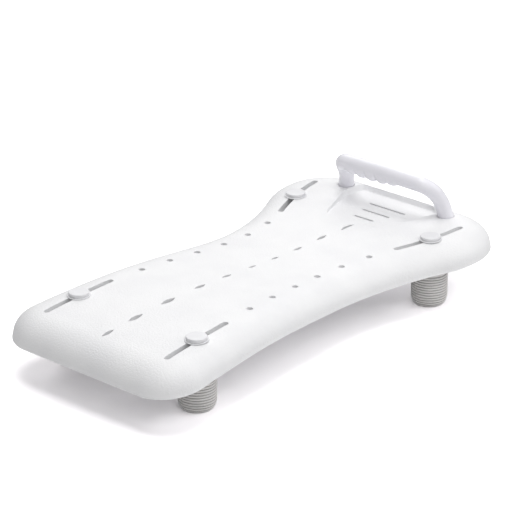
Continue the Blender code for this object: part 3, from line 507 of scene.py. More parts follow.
def ring_edges(ring: Sequence[BMVert]) -> list[BMEdge]:
    """Find the edges of a ring.

    Args:
        ring: Its vertices.

    Returns:
        The edges between them, in the ring's order.
    """
    wanted = set(ring)
    return list(dict.fromkeys(edge for vert in ring for edge in vert.link_edges
                              if edge.other_vert(vert) in wanted))


def extrude_ring(bm: BMesh, ring: Sequence[BMVert]) -> list[BMVert]:
    """Extrude a ring on the spot.

    Args:
        bm: Mesh that holds the ring.
        ring: Its vertices, in order.

    Returns:
        The new ring's vertices, in the same order.
    """
    made = bmesh.ops.extrude_edge_only(bm, edges=ring_edges(ring))["geom"]
    fresh = {item for item in made if isinstance(item, BMVert)}
    return [next(edge.other_vert(vert) for edge in vert.link_edges
                 if edge.other_vert(vert) in fresh) for vert in ring]


def add_stack(bm: BMesh, outlines: Sequence[Outline],
              closed: bool = True) -> tuple[list[BMVert], list[BMVert]]:
    """Add a skin through outlines stacked on each other.

    Args:
        bm: Mesh that it goes into.
        outlines: The outlines, each with the same number of points.
        closed: Whether both ends get a face.

    Returns:
        The first ring and the last one.
    """
    sides = len(outlines[0])
    first = bmesh.ops.create_circle(bm, cap_ends=False, segments=sides, radius=1.0)["verts"]
    last = first
    for index, outline in enumerate(outlines):
        if index:
            last = extrude_ring(bm, last)
        for vert, point in zip(last, outline):
            vert.co = point
    if closed:
        bmesh.ops.edgeloop_fill(bm, edges=ring_edges(first))
        bmesh.ops.edgeloop_fill(bm, edges=ring_edges(last))
    return first, last


def add_walls(bm: BMesh, outlines: Sequence[Outline], bottom: Height, top: float) -> None:
    """Add an upright solid over one outline, or a wall between two.

    Args:
        bm: Mesh that it goes into.
        outlines: The outer outline, and the inner one of a wall.
        bottom: Height of the underside.
        top: Height of the upper side.
    """
    low = [lift(outline, bottom) for outline in outlines]
    high = [lift(outline, top) for outline in outlines]
    if len(outlines) == 1:
        add_stack(bm, [low[0], high[0]])
        return
    first, last = add_stack(bm, [low[0], high[0], high[1], low[1], low[0]], closed=False)
    bmesh.ops.remove_doubles(bm, verts=first + last, dist=MERGE)


def turn_profile(profile: Profile, radii: dict[int, float] | None = None, steps: int = 96,
                 centre: Sequence[float] = (0.0, 0.0)) -> BMesh:
    """Turn a closed solid round an upright axis.

    Args:
        profile: Radius and height of each point, run down the outside. A profile
            that starts or ends off the axis comes back up its bore.
        radii: Fillet radius by index of the corner.
        steps: Sides of the solid.
        centre: Plan point of the axis.

    Returns:
        The solid, with its poles merged.
    """
    bm = bmesh.new()
    section = rounded(profile, radii or {})
    verts = [bm.verts.new((radius, 0.0, height)) for radius, height in section]
    edges = [bm.edges.new(pair) for pair in zip(verts, verts[1:])]
    if section[0][0] > 0.0 or section[-1][0] > 0.0:
        edges.append(bm.edges.new((verts[-1], verts[0])))
    bmesh.ops.spin(bm, geom=verts + edges, cent=(0, 0, 0), axis=(0, 0, 1), dvec=(0, 0, 0),
                   angle=2 * math.pi, steps=steps, use_merge=True, use_duplicate=False)
    bmesh.ops.remove_doubles(bm, verts=bm.verts[:], dist=MERGE)
    bmesh.ops.translate(bm, vec=(*centre, 0.0), verts=bm.verts[:])
    return bm


def turn_washer(radius: float, bore: float, half: float, edges: Sequence[float],
                steps: int) -> BMesh:
    """Turn a flat washer round the Z axis, with its middle at the origin.

    Args:
        radius: Its outer radius.
        bore: Radius of its bore.
        half: Half its thickness.
        edges: Radii of its upper and lower outer edge.
        steps: Sides of the washer.

    Returns:
        The washer.
    """
    section = [(radius, half), (radius, -half), (bore, -half), (bore, half)]
    return turn_profile(section, dict(enumerate(edges)), steps)


def hexagon(flats: float, bottom: float, top: float,
            centre: Sequence[float] = (0.0, 0.0)) -> Object:
    """Make an upright hexagonal cutter.

    Args:
        flats: Its width across the flats.
        bottom: Height of its lower end.
        top: Height of its upper end.
        centre: Plan point of its axis.

    Returns:
        The cutter.
    """
    bm = bmesh.new()
    radius = flats / math.sqrt(3)
    bmesh.ops.create_cone(bm, cap_ends=True, segments=6, radius1=radius, radius2=radius,
                          depth=top - bottom,
                          matrix=Matrix.Translation((*centre, (bottom + top) / 2)))
    return finish_mesh("hexagon", bm)


def add_mesh(bm: BMesh, part: BMesh) -> None:
    """Move one mesh into another.

    Args:
        bm: Mesh that grows.
        part: Mesh that is added and freed.
    """
    bmesh.ops.recalc_face_normals(part, faces=part.faces[:])
    carrier = bpy.data.meshes.new("carrier")
    part.to_mesh(carrier)
    part.free()
    bm.from_mesh(carrier)
    bpy.data.meshes.remove(carrier)


def finish_mesh(name: str, bm: BMesh, sharp: float = SHARP) -> Object:
    """Turn a bmesh into a smooth object at the origin.

    Args:
        name: Name of the object.
        bm: The mesh, which is freed.
        sharp: Edges that turn more than this many degrees stay crisp.

    Returns:
        The object, linked to the scene.
    """
    bmesh.ops.recalc_face_normals(bm, faces=bm.faces[:])
    mesh = bpy.data.meshes.new(name)
    bm.to_mesh(mesh)
    bm.free()
    mesh.shade_smooth()
    mesh.set_sharp_from_angle(angle=math.radians(sharp))
    item = bpy.data.objects.new(name, mesh)
    bpy.context.scene.collection.objects.link(item)
    return item


def carve(item: Object, steps: Sequence[tuple[str, Object]]) -> None:
    """Join, trim and cut an object, and remove what did it.

    Args:
        item: The object that is changed.
        steps: Boolean operation and operand of each step.
    """
    for operation, operand in steps:
        modifier = item.modifiers.new(operand.name, "BOOLEAN")
        modifier.operation = operation
        modifier.object = operand
        modifier.solver = "MANIFOLD"
    bpy.context.view_layer.update()
    graph = bpy.context.evaluated_depsgraph_get()
    shaped = bpy.data.meshes.new_from_object(item.evaluated_get(graph))
    shaped.name = item.data.name
    item.modifiers.clear()
    item.data = shaped
    for _, operand in steps:
        bpy.data.objects.remove(operand, do_unlink=True)
    bm = bmesh.new()
    bm.from_mesh(shaped)
    bmesh.ops.remove_doubles(bm, verts=bm.verts[:], dist=MERGE)
    bmesh.ops.dissolve_degenerate(bm, edges=bm.edges[:], dist=MERGE)
    bm.to_mesh(shaped)
    bm.free()
    shaped.shade_smooth()
    shaped.set_sharp_from_angle(angle=math.radians(SHARP))


# Board


@dataclass(frozen=True)
class BoardForm:
    """Outline, seating face and slots of the board, which its pieces share.

    A slot is given by its length, the distance from the board's end (to its near tip at
    the open end, to its middle at the handle end) and the distance from the edge.
    """

    length: float = 0.706
    width: float = 0.3706
    open_end_width: float = 0.3368
    waist_width: float = 0.2538
    top: float = 0.0965
    wall: float = 0.003
    waist_from_handle_end: float = 0.2392
    flare_from_handle_end: float = 0.1187
    corner_step: float = 0.0022
    corner_radii: tuple[float, ...] = (0.0576, 0.382, 0.115, 0.0885)
    end_bow: float = 0.0010
    edge_inset: float = 0.048
    edge_drop: float = 0.031
    edge_power: float = 2.3
    skirt: float = 0.0025
    lip: float = 0.0010            # radius of the rolled lower edge
    bead: float = 0.0011           # how far the rim stands out along the lower edge
    wave_height: float = 0.0045
    wave_length: float = 0.468
    wave_node_from_handle_end: float = 0.3783
    roll_length: float = 0.1016
    roll_drop: float = 0.0053
    open_slot: tuple[float, float, float] = (0.1257, 0.0458, 0.0495)
    open_slot_toe_in: float = math.radians(2.4)
    handle_slot: tuple[float, float, float] = (0.122, 0.1264, 0.0500)
    handle_slot_splay: float = math.radians(14.5)
    handle_slot_radius: float = 0.365
    fine_steps: tuple[float, float] = (math.radians(2.2), 0.006)
    coarse_steps: tuple[float, float] = (math.radians(13.0), 0.036)

    def height(self, x: float) -> float:
        """Height of the seating face, away from its rounded edge.

        Args:
            x: Place along the board.

        Returns:
            The height there.
        """
        node = self.length / 2 - self.wave_node_from_handle_end
        wave = -self.wave_height * math.sin(2 * math.pi * (x - node) / self.wave_length)
        roll = max(0.0, self.roll_length - self.length / 2 - x) / self.roll_length
        return self.top + wave - self.roll_drop * roll ** 2

    def half_outline(self, steps: tuple[float, float]) -> list[tuple[Vector, Vector]]:
        """Points and outward normals of the left half's outline, open end first.

        Args:
            steps: Most that a step turns, and the longest step.

        Returns:
            Each point with its normal.
        """
        end = self.length / 2
        flare = self.width / 2
        corners = [Vector(point) for point in (
            (-end, 0.0),
            (-end, self.open_end_width / 2),
            (end - self.waist_from_handle_end, self.waist_width / 2),
            (end - self.flare_from_handle_end, flare),
            (end - self.end_bow, flare + self.corner_step),
            (end, 0.0))]
        return rounded_path(corners, self.corner_radii, *steps)

    def edge_at(self, x: float) -> tuple[float, Vector]:
        """Find the edge that slots and holes are measured from.

        Args:
            x: Place along the board.

        Returns:
            Half width of the board there, and the outward normal.
        """
        path = self.half_outline(self.coarse_steps)
        for (first, first_normal), (second, second_normal) in zip(path, path[1:]):
            if first.x <= x <= second.x and second.x > first.x:
                share = (x - first.x) / (second.x - first.x)
                normal = first_normal.lerp(second_normal, share).normalized()
                return first.y + (second.y - first.y) * share, normal
        raise ValueError("x is past the ends of the board")

    def shoulder(self, turn: float, offset: float) -> tuple[float, float]:
        """Inset and drop of the rounded shoulder, offset square to itself.

        Args:
            turn: 0 at the outer edge, 1 where it meets the seating face.
            offset: How far under the outer surface.

        Returns:
            Distance in from the outline and down from the seating face.
        """
        angle = turn * QUARTER
        across = max(math.cos(angle), 0.0) ** (2 / self.edge_power)
        up = max(math.sin(angle), 0.0) ** (2 / self.edge_power)
        slope_in = across ** (self.edge_power - 1) / self.edge_inset
        slope_up = up ** (self.edge_power - 1) / self.edge_drop
        size = math.hypot(slope_in, slope_up)
        return (self.edge_inset * (1 - across) + offset * slope_in / size,
                self.edge_drop * (1 - up) + offset * slope_up / size)

    def slot_reach(self, corner: Corner) -> float:
        """Half the overall length of a corner's slot."""
        return (self.open_slot if corner.is_open else self.handle_slot)[0] / 2

    def slot_middle(self, corner: Corner) -> Vector:
        """Plan point at the middle of a slot.

        Args:
            corner: Corner of the board that the slot is at.

        Returns:
            The point.
        """
        length, from_end, from_edge = self.open_slot if corner.is_open else self.handle_slot
        x = self.length / 2 - from_end
        if corner.is_open:
            x = -self.length / 2 + from_end + length / 2
        half_width, normal = self.edge_at(x)
        return Vector((x, corner.side * (half_width - from_edge / normal.y)))

    def slot_point(self, corner: Corner, along: float, across: float) -> Vector:
        """Plan point in a slot, which is straight at the open end and else an arc.

        Args:
            corner: Corner of the board that the slot is at.
            along: Distance from its middle along its middle line.
            across: Distance to the left of that line.

        Returns:
            The point.
        """
        middle = self.slot_middle(corner)
        if corner.is_open:
            heading = -corner.side * self.open_slot_toe_in
            ahead = Vector((math.cos(heading), math.sin(heading)))
            return middle + ahead * along + Vector((-ahead.y, ahead.x)) * across
        splay = self.handle_slot_splay
        reach = self.handle_slot_radius
        centre = middle + Vector((math.sin(splay), -corner.side * math.cos(splay))) * reach
        arm = Matrix.Rotation(-corner.side * along / reach, 2) @ (middle - centre)
        return centre + arm * (1 + corner.side * across / reach)

    def slot_slope(self, corner: Corner) -> float:
        """Rise of the seating face along a slot.

        Args:
            corner: Corner of the board that the slot is at.

        Returns:
            The rise per metre of X.
        """
        reach = self.slot_reach(corner)
        first = self.slot_point(corner, -reach, 0.0)
        last = self.slot_point(corner, reach, 0.0)
        return (self.height(last.x) - self.height(first.x)) / (last.x - first.x)

    def stadium(self, corner: Corner, half_width: float, half_length: float) -> list[Vector]:
        """Plan outline round a slot's middle line, with round ends.

        Args:
            corner: Corner of the board that the slot is at.
            half_width: Half the width of the outline.
            half_length: Half its overall length.

        Returns:
            The outline's points.
        """
        runs, end_sides = 24, 14
        straight = half_length - half_width
        points = []
        for turn in (0.0, math.pi):
            for index in range(runs):
                along = math.cos(turn) * (-straight + 2 * straight * index / runs)
                points.append((along, -math.cos(turn) * half_width))
            for index in range(end_sides):
                angle = turn - QUARTER + math.pi * index / end_sides
                points.append((math.cos(turn) * straight + half_width * math.cos(angle),
                               half_width * math.sin(angle)))
        return [self.slot_point(corner, along, across) for along, across in points]


@dataclass
class SoapDish:
    """The shallow soap dish, whose floor falls towards the handle end."""

    form: BoardForm
    front_from_end: float = 0.1480
    back_from_end: float = 0.0290
    front_half_width: float = 0.051
    belly_half_width: float = 0.0790
    back_half_width: float = 0.0750
    belly_from_back: float = 0.038
    corner_radii: tuple[float, ...] = (0.018, 0.030, 0.004)
    depth_at_front: float = 0.0016
    depth_at_back: float = 0.0103
    least_depth: float = 0.0004
    floor_radius: float = 0.0022
    rim_radius: float = 0.0010
    radius_share: float = 0.35     # of the depth, which neither radius goes past
    lean: float = 0.25             # of the wall, as a share of its height
    rim_turn: float = math.radians(80)
    clear: tuple[float, float] = (0.002, 0.020)  # how far the cutter goes past the rim
    slot_width: float = 0.0046
    slots: tuple[tuple[float, float], ...] = ((0.039, 0.067), (0.065, 0.051), (0.093, 0.036))

    @property
    def front(self) -> float:
        """X of the front edge of the floor."""
        return self.form.length / 2 - self.front_from_end

    @property
    def back(self) -> float:
        """X of the back edge of the floor."""
        return self.form.length / 2 - self.back_from_end

    def floor(self, x: float) -> float:
        """Height of the flat floor at x."""
        front = self.form.height(self.front) - self.depth_at_front
        back = self.form.height(self.back) - self.depth_at_back
        return front + (back - front) * (x - self.front) / (self.back - self.front)

    def outline(self, grow: float) -> list[Vector]:
        """Plan outline of the dish.

        Args:
            grow: How far it is moved out.

        Returns:
            The outline's points, which pair up between calls.
        """
        front, back = self.front - grow, self.back + grow
        corners = [Vector(point) for point in (
            (front, 0.0),
            (front, self.front_half_width + grow * 0.7),
            (self.back - self.belly_from_back, self.belly_half_width + grow),
            (back, self.back_half_width + grow),
            (back, 0.0))]
        radii = [radius + grow for radius in self.corner_radii]
        path = rounded_path(corners, radii, QUARTER / 14, self.form.width)
        return with_mirror([point for point, _ in path])

    def wall(self, depth: float) -> list[tuple[float, float]]:
        """Section of the wall, from the floor's round edge over the rim to clear air.

        Args:
            depth: Depth of the dish there.

        Returns:
            How far out and up each point of the section is.
        """
        foot = min(self.floor_radius, self.radius_share * depth)
        rim = min(self.rim_radius, self.radius_share * depth)
        out = self.lean * depth
        return [*[(-far, rise) for rise, far in round_edge(foot, 6)],
                *[(out + far, depth - down) for far, down in round_edge(rim, 5, self.rim_turn)],
                (out + rim + self.clear[0], depth + self.clear[1])]

    def cutter(self) -> BMesh:
        """Make the cutter of the dish: round floor edge, leaning wall and round rim."""
        reach = 0.010
        columns = []
        for point, out in zip(self.outline(0.0), self.outline(reach)):
            floor = self.floor(point.x)
            depth = max(self.form.height(point.x) - floor, self.least_depth)
            columns.append([Vector((*(point + (out - point) * (grow / reach)), floor + rise))
                            for grow, rise in self.wall(depth)])
        bm = bmesh.new()
        add_stack(bm, list(zip(*columns)))
        return bm

    def slot_outlines(self, grow: float) -> list[list[Vector]]:
        """Plan outlines of the drain slots.

        Args:
            grow: How far they are moved out.

        Returns:
            Each outline's points.
        """
        half_width = self.slot_width / 2
        reach = half_width + grow
        arcs = [(side, math.pi * index / 12) for side in (1, -1) for index in range(13)]
        return [[Vector((self.back - from_back + side * reach * math.cos(angle),
                         side * (length / 2 - half_width + reach * math.sin(angle))))
                 for side, angle in arcs] for from_back, length in self.slots]


@dataclass
class SeatBoard:
    """The moulded board: an open tray with ribs, tracks, holes and the soap dish."""

    form: BoardForm
    dish: SoapDish
    side_holes: int = 6
    side_hole_pitch: float = 0.0516
    side_hole_radius: float = 0.0046
    side_hole_from_edge: float = 0.0482
    side_hole_centre: float = -0.0011
    row_from_open_end: float = 0.0534
    row_from_handle_end: float = 0.2164
    row_steps: tuple[int, ...] = (53, 63, 63, 54, 53, 48, 49, 52)
    leaf_lengths: tuple[float, ...] = (0.020, 0.025, 0.025, 0.0192, 0.016, 0.0132, 0.013,
                                       0.0158, 0.0185)
    leaf_slenderness: float = 3.0
    leaf_tip: float = 0.0008       # radius of both tips
    bent_leaf_from_handle_end: float = 0.1665
    bent_leaf_offset: float = -0.0068
    bent_leaf_size: tuple[float, float, float] = (0.0235, 0.0052, 0.0020)
    bent_leaf_turn: float = math.radians(-6.4)
    hole_rim: float = 0.0004       # radius of each hole's edge on the seat
    dish_slot_rim: float = 0.0005
    flare: tuple[float, float] = (0.0016, 0.0006)  # way out and up, past the rim
    flare_turn: float = math.radians(78)
    bead_edge: float = 0.0003      # inset of the bead's upper edge
    lip_chamfer: float = 0.0005    # of the rim's inner lower edge
    least_strip: float = 0.0004    # width of the strips that close the shell
    slot_width: float = 0.0086
    track_width: float = 0.034
    track_wall: float = 0.0028
    track_depth: float = 0.0165
    cross_rib_depth: float = 0.0120
    long_rib_depth: float = 0.0104
    long_rib_offsets: tuple[float, ...] = (0.027, 0.064)
    rib_thickness: float = 0.0024
    rib_bevel: float = 0.0004
    collar_wall: float = 0.0020
    collar_depth: float = 0.0095   # of the collar round each hole, from the seating face
    post_spacing: float = 0.1880
    post_from_end: float = 0.0490
    post_recess_radius: float = 0.0130
    post_recess_depth: float = 0.0010
    post_groove: float = 0.0012    # depth of the shadow gap round each post's foot
    post_groove_width: float = 0.0014
    post_clear: float = 0.010      # how far the post's cutter reaches over its seat
    boss_radius: float = 0.0105
    boss_depth: float = 0.0188
    boss_chamfer: float = 0.0005
    screw_bore: float = 0.0029
    low: float = 0.040             # the cutters reach from here
    high: float = 0.130            # to here, and what is trimmed starts a step apart
    step: float = 0.001
    trim_reach: float = 0.005      # how far the trim reaches below the rim

    def ring(self, inset: float, drop: float) -> list[Vector]:
        """Ring round the board.

        Args:
            inset: Distance in from the outline.
            drop: Distance down from the seating face.

        Returns:
            The ring's points.
        """
        half = []
        for point, normal in self.form.half_outline(self.form.fine_steps):
            moved = point - normal * inset
            half.append(Vector((moved.x, max(moved.y, 0.0), self.form.height(moved.x) - drop)))
        return with_mirror(half)

    def cap(self, bm: BMesh, ring: Sequence[BMVert]) -> None:
        """Close a ring with strips across the board that follow the wave.

        Args:
            bm: Mesh that holds the ring.
            ring: Its vertices, in order.
        """
        bmesh.ops.edgeloop_fill(bm, edges=ring_edges(ring))
        half = len(ring) // 2
        last = ring[0].co.x
        for left, right in zip(ring[1:half], reversed(ring[half + 1:])):
            if min(left.co.x - last, ring[half].co.x - left.co.x) > self.least_strip:
                bmesh.ops.connect_verts(bm, verts=[left, right])
                last = left.co.x

    def shell(self) -> BMesh:
        """Make the open tray, round outside, with an even wall and a bead on its rim."""
        form = self.form
        deepest = form.edge_drop + form.skirt
        chamfer = self.lip_chamfer
        places = []
        for index in range(21):
            inset, drop = form.shoulder(1 - index / 20, 0.0)
            places.append((inset + form.bead * (1 - inset / form.edge_inset), drop))
        # The bead steps out below the shoulder and ends in the rolled lip.
        places.append((self.bead_edge, form.edge_drop + form.lip))
        places += [(inset, deepest - rise) for inset, rise in round_edge(form.lip, 4)]
        places += [(form.wall - chamfer, deepest), (form.wall, deepest - chamfer)]
        places += [form.shoulder(index / 12, form.wall) for index in range(13)]
        bm = bmesh.new()
        for ring in add_stack(bm, [self.ring(*place) for place in places], closed=False):
            self.cap(bm, ring)
        return bm

    def fill(self) -> BMesh:
        """Make a solid of all below the middle of the wall, which trims the ribs."""
        form = self.form
        rings = [self.ring(*form.shoulder(1 - index / 8, form.wall / 2)) for index in range(9)]
        rings.append(lift(rings[-1], form.top - form.edge_drop - form.skirt - self.trim_reach))
        bm = bmesh.new()
        top, bottom = add_stack(bm, rings, closed=False)
        self.cap(bm, top)
        bmesh.ops.edgeloop_fill(bm, edges=ring_edges(bottom))
        return bm

    def centre_row(self) -> list[float]:
        """X of each straight leaf-shaped hole."""
        first = -self.form.length / 2 + self.row_from_open_end
        last = self.form.length / 2 - self.row_from_handle_end
        share = (last - first) / sum(self.row_steps)
        places = [first]
        for step in self.row_steps:
            places.append(places[-1] + step * share)
        return places

    def bent_leaf(self) -> Vector:
        """Plan point at the middle of the bent leaf-shaped hole."""
        x = self.form.length / 2 - self.bent_leaf_from_handle_end
        return Vector((x, self.bent_leaf_offset))

    def leaf(self, size: tuple[float, float, float], grow: float) -> list[Vector]:
        """Outline of a leaf on the origin: two shallow arcs that meet in round tips.

        Args:
            size: Its length, width and sideways bow.
            grow: How far it is moved out.

        Returns:
            The outline's points.
        """
        length, width, bow = size
        tip = self.leaf_tip
        sides = 16
        points = []
        for side in (-1, 1):
            for index in range(sides + 1):
                share = -side * (2 * index / sides - 1)
                swell = (width / 2 - tip) * (1 - share * share) + tip + grow
                points.append(Vector((share * length / 2,
                                      bow * (1 - share * share) + side * swell)))
            for index in range(1, 6):
                angle = side * QUARTER + math.pi * index / 6
                points.append(Vector((-side * length / 2 + (tip + grow) * math.cos(angle),
                                      (tip + grow) * math.sin(angle))))
        return points

    def holes(self, grow: float) -> list[list[Vector]]:
        """Plan outlines of the round and the leaf-shaped holes.

        Args:
            grow: How far they are moved out.

        Returns:
            Each outline's points.
        """
        outlines = []
        reach = self.side_hole_radius + grow
        turns = [2 * math.pi * index / 40 for index in range(40)]
        for index in range(self.side_holes):
            x = self.side_hole_centre + (index - (self.side_holes - 1) / 2) * self.side_hole_pitch
            half_width, normal = self.form.edge_at(x)
            y = half_width - self.side_hole_from_edge / normal.y
            for side in (1, -1):
                outlines.append([Vector((x + reach * math.cos(turn),
                                         side * y + reach * math.sin(turn))) for turn in turns])
        for x, length in zip(self.centre_row(), self.leaf_lengths):
            leaf = self.leaf((length, length / self.leaf_slenderness, 0.0), grow)
            outlines.append([point + Vector((x, 0.0)) for point in leaf])
        swing = Matrix.Rotation(self.bent_leaf_turn, 2)
        leaf = self.leaf(self.bent_leaf_size, grow)
        return [*outlines, [self.bent_leaf() + swing @ point for point in leaf]]

    def holes_and_slots(self, grow: float) -> list[list[Vector]]:
        """Plan outlines of every hole and foot slot of the seat.

        Args:
            grow: How far they are moved out.

        Returns:
            Each outline's points.
        """
        slots = [self.form.stadium(corner, self.slot_width / 2 + grow,
                                   self.form.slot_reach(corner) + grow) for corner in Corner]
        return self.holes(grow) + slots

    def cutters(self, outlines: Callable[[float], list[list[Vector]]],
                surface: Callable[[float], float], rim: float) -> BMesh:
        """Make the cutters of some holes, each flared into a round upper edge.

        Args:
            outlines: Gives their plan outlines, moved out by a distance.
            surface: Gives the height of the surface at an x.
            rim: Radius of the upper edge.

        Returns:
            The cutters, as one mesh.
        """
        levels = [(far, -down) for far, down in round_edge(rim, 4, self.flare_turn)]
        levels.append((rim + self.flare[0], self.flare[1]))
        bm = bmesh.new()
        for rings in zip(*[outlines(grow) for grow, _ in levels]):
            stack = [lift(rings[0], self.low)]
            stack += [lift(ring, lambda p: surface(p.x) + rise)
                      for ring, (_, rise) in zip(rings, levels)]
            add_stack(bm, [*stack, lift(rings[-1], self.high)])
        return bm

    def post_points(self) -> list[Vector]:
        """Plan points of the two handle posts, the left one first."""
        x = self.form.length / 2 - self.post_from_end
        return [Vector((x, side * self.post_spacing / 2)) for side in (1, -1)]

    def post_seat(self) -> float:
        """Height of the flat seat under each handle post."""
        return self.form.height(self.post_points()[0].x) - self.post_recess_depth

    def add_post_seats(self, bm: BMesh) -> None:
        """Add the cutters of the handle's seats and of their screw bores.

        Args:
            bm: Mesh that they go into.
        """
        seat = self.post_seat()
        face = seat + self.post_recess_depth
        groove = seat - self.post_groove
        edge = self.post_recess_radius
        inner = edge - self.post_groove_width
        high = seat + self.post_clear
        section = [
            (0.0, high), (edge + self.flare[0], high), (edge + self.hole_rim, face + 0.0001),
            (edge, face - self.hole_rim), (edge, groove), (inner, groove),
            (inner - 0.0002, seat), (self.screw_bore, seat), (self.screw_bore, self.low),
            (0.0, self.low)]
        for centre in self.post_points():
            add_mesh(bm, turn_profile(section, steps=64, centre=centre))

    def tracks(self) -> BMesh:
        """Make the two walls round each slot, whose undersides run parallel to it."""
        form = self.form
        outer = self.track_width / 2
        bm = bmesh.new()
        for corner in Corner:
            middle = form.slot_middle(corner).x
            slope = form.slot_slope(corner)
            reach = form.slot_reach(corner)
            end = reach + outer - self.slot_width / 2
            walls = ([(self.slot_width / 2 + self.track_wall, reach + self.track_wall)],
                     [(outer, end), (outer - self.track_wall, end - self.track_wall)])
            for wall in walls:
                add_walls(bm, [form.stadium(corner, *size) for size in wall],
                          lambda p: form.top - self.track_depth + slope * (p.x - middle),
                          self.high)
        return bm

    def rib_section(self, low: float, high: float) -> list[tuple[float, float]]:
        """Section of a rib, across and up, with its lower edges bevelled.

        Args:
            low: Height of its underside.
            high: Height that it is trimmed from.

        Returns:
            The section's points.
        """
        half = self.rib_thickness / 2
        bevel = self.rib_bevel
        return [(-half, low + bevel), (-half + bevel, low), (half - bevel, low),
                (half, low + bevel), (half, high), (-half, high)]

    def long_ribs(self) -> BMesh:
        """Make the ribs along the board, which follow the wave of the seat."""
        bm = bmesh.new()
        reach = self.form.length / 2 - self.form.wall / 2
        places = [-reach + 2 * reach * index / 60 for index in range(61)]
        for middle in [side * offset for offset in self.long_rib_offsets for side in (1, -1)]:
            add_stack(bm, [[Vector((x, middle + y, z)) for y, z in self.rib_section(
                self.form.height(x) - self.long_rib_depth, self.high)] for x in places])
        return bm

    def cross_ribs(self) -> BMesh:
        """Make the ribs across the board, each midway between two leaf-shaped holes."""
        bm = bmesh.new()
        leaves = [*self.centre_row(), self.bent_leaf().x]
        for before, after in zip(leaves, leaves[1:]):
            middle = (before + after) / 2
            section = self.rib_section(self.form.height(middle) - self.cross_rib_depth,
                                       self.high + self.step)
            add_stack(bm, [[Vector((middle + x, y, z)) for x, z in section]
                           for y in (-self.form.width, self.form.width)])
        return bm

    def bosses(self) -> BMesh:
        """Make the screw bosses, the collars round the holes and the pan of the dish."""
        bm = bmesh.new()
        high = self.high + 2 * self.step
        foot = self.post_seat() - self.boss_depth
        inner = self.boss_radius - self.boss_chamfer
        section = [(0.0, high), (self.boss_radius, high),
                   (self.boss_radius, foot + self.boss_chamfer), (inner, foot), (0.0, foot)]
        for centre in self.post_points():
            add_mesh(bm, turn_profile(section, steps=48, centre=centre))
        for hole in self.holes(self.collar_wall):
            add_walls(bm, [hole], lambda p: self.form.height(p.x) - self.collar_depth,
                      self.high + 4 * self.step)
        add_walls(bm, [self.dish.outline(self.form.wall)],
                  lambda p: self.dish.floor(p.x) - self.form.wall, self.high + 3 * self.step)
        return bm

    def build(self, wardrobe: Wardrobe) -> Object:
        """Build the board and dress it.

        Args:
            wardrobe: The finishes.

        Returns:
            The board.
        """
        underside = finish_mesh("underside", self.long_ribs())
        carve(underside, [
            ("UNION", finish_mesh("cross_ribs", self.cross_ribs())),
            ("UNION", finish_mesh("tracks", self.tracks())),
            ("UNION", finish_mesh("bosses", self.bosses())),
            ("INTERSECT", finish_mesh("fill", self.fill())),
        ])
        cuts = self.cutters(self.holes_and_slots, self.form.height, self.hole_rim)
        self.add_post_seats(cuts)
        slots = self.cutters(self.dish.slot_outlines, self.dish.floor, self.dish_slot_rim)
        board = finish_mesh("seat_board", self.shell())
        carve(board, [
            ("UNION", underside),
            ("DIFFERENCE", finish_mesh("recess", self.dish.cutter())),
            ("DIFFERENCE", finish_mesh("cuts", cuts)),
            ("DIFFERENCE", finish_mesh("dish_slots", slots)),
        ])
        # The large faces settle the shading next to small radii.
        shading = board.modifiers.new("even_shading", "WEIGHTED_NORMAL")
        shading.keep_sharp = True
        shading.weight = 60
        return wardrobe.dress(board, Slot.SEAT, "board", "board")


# Handle


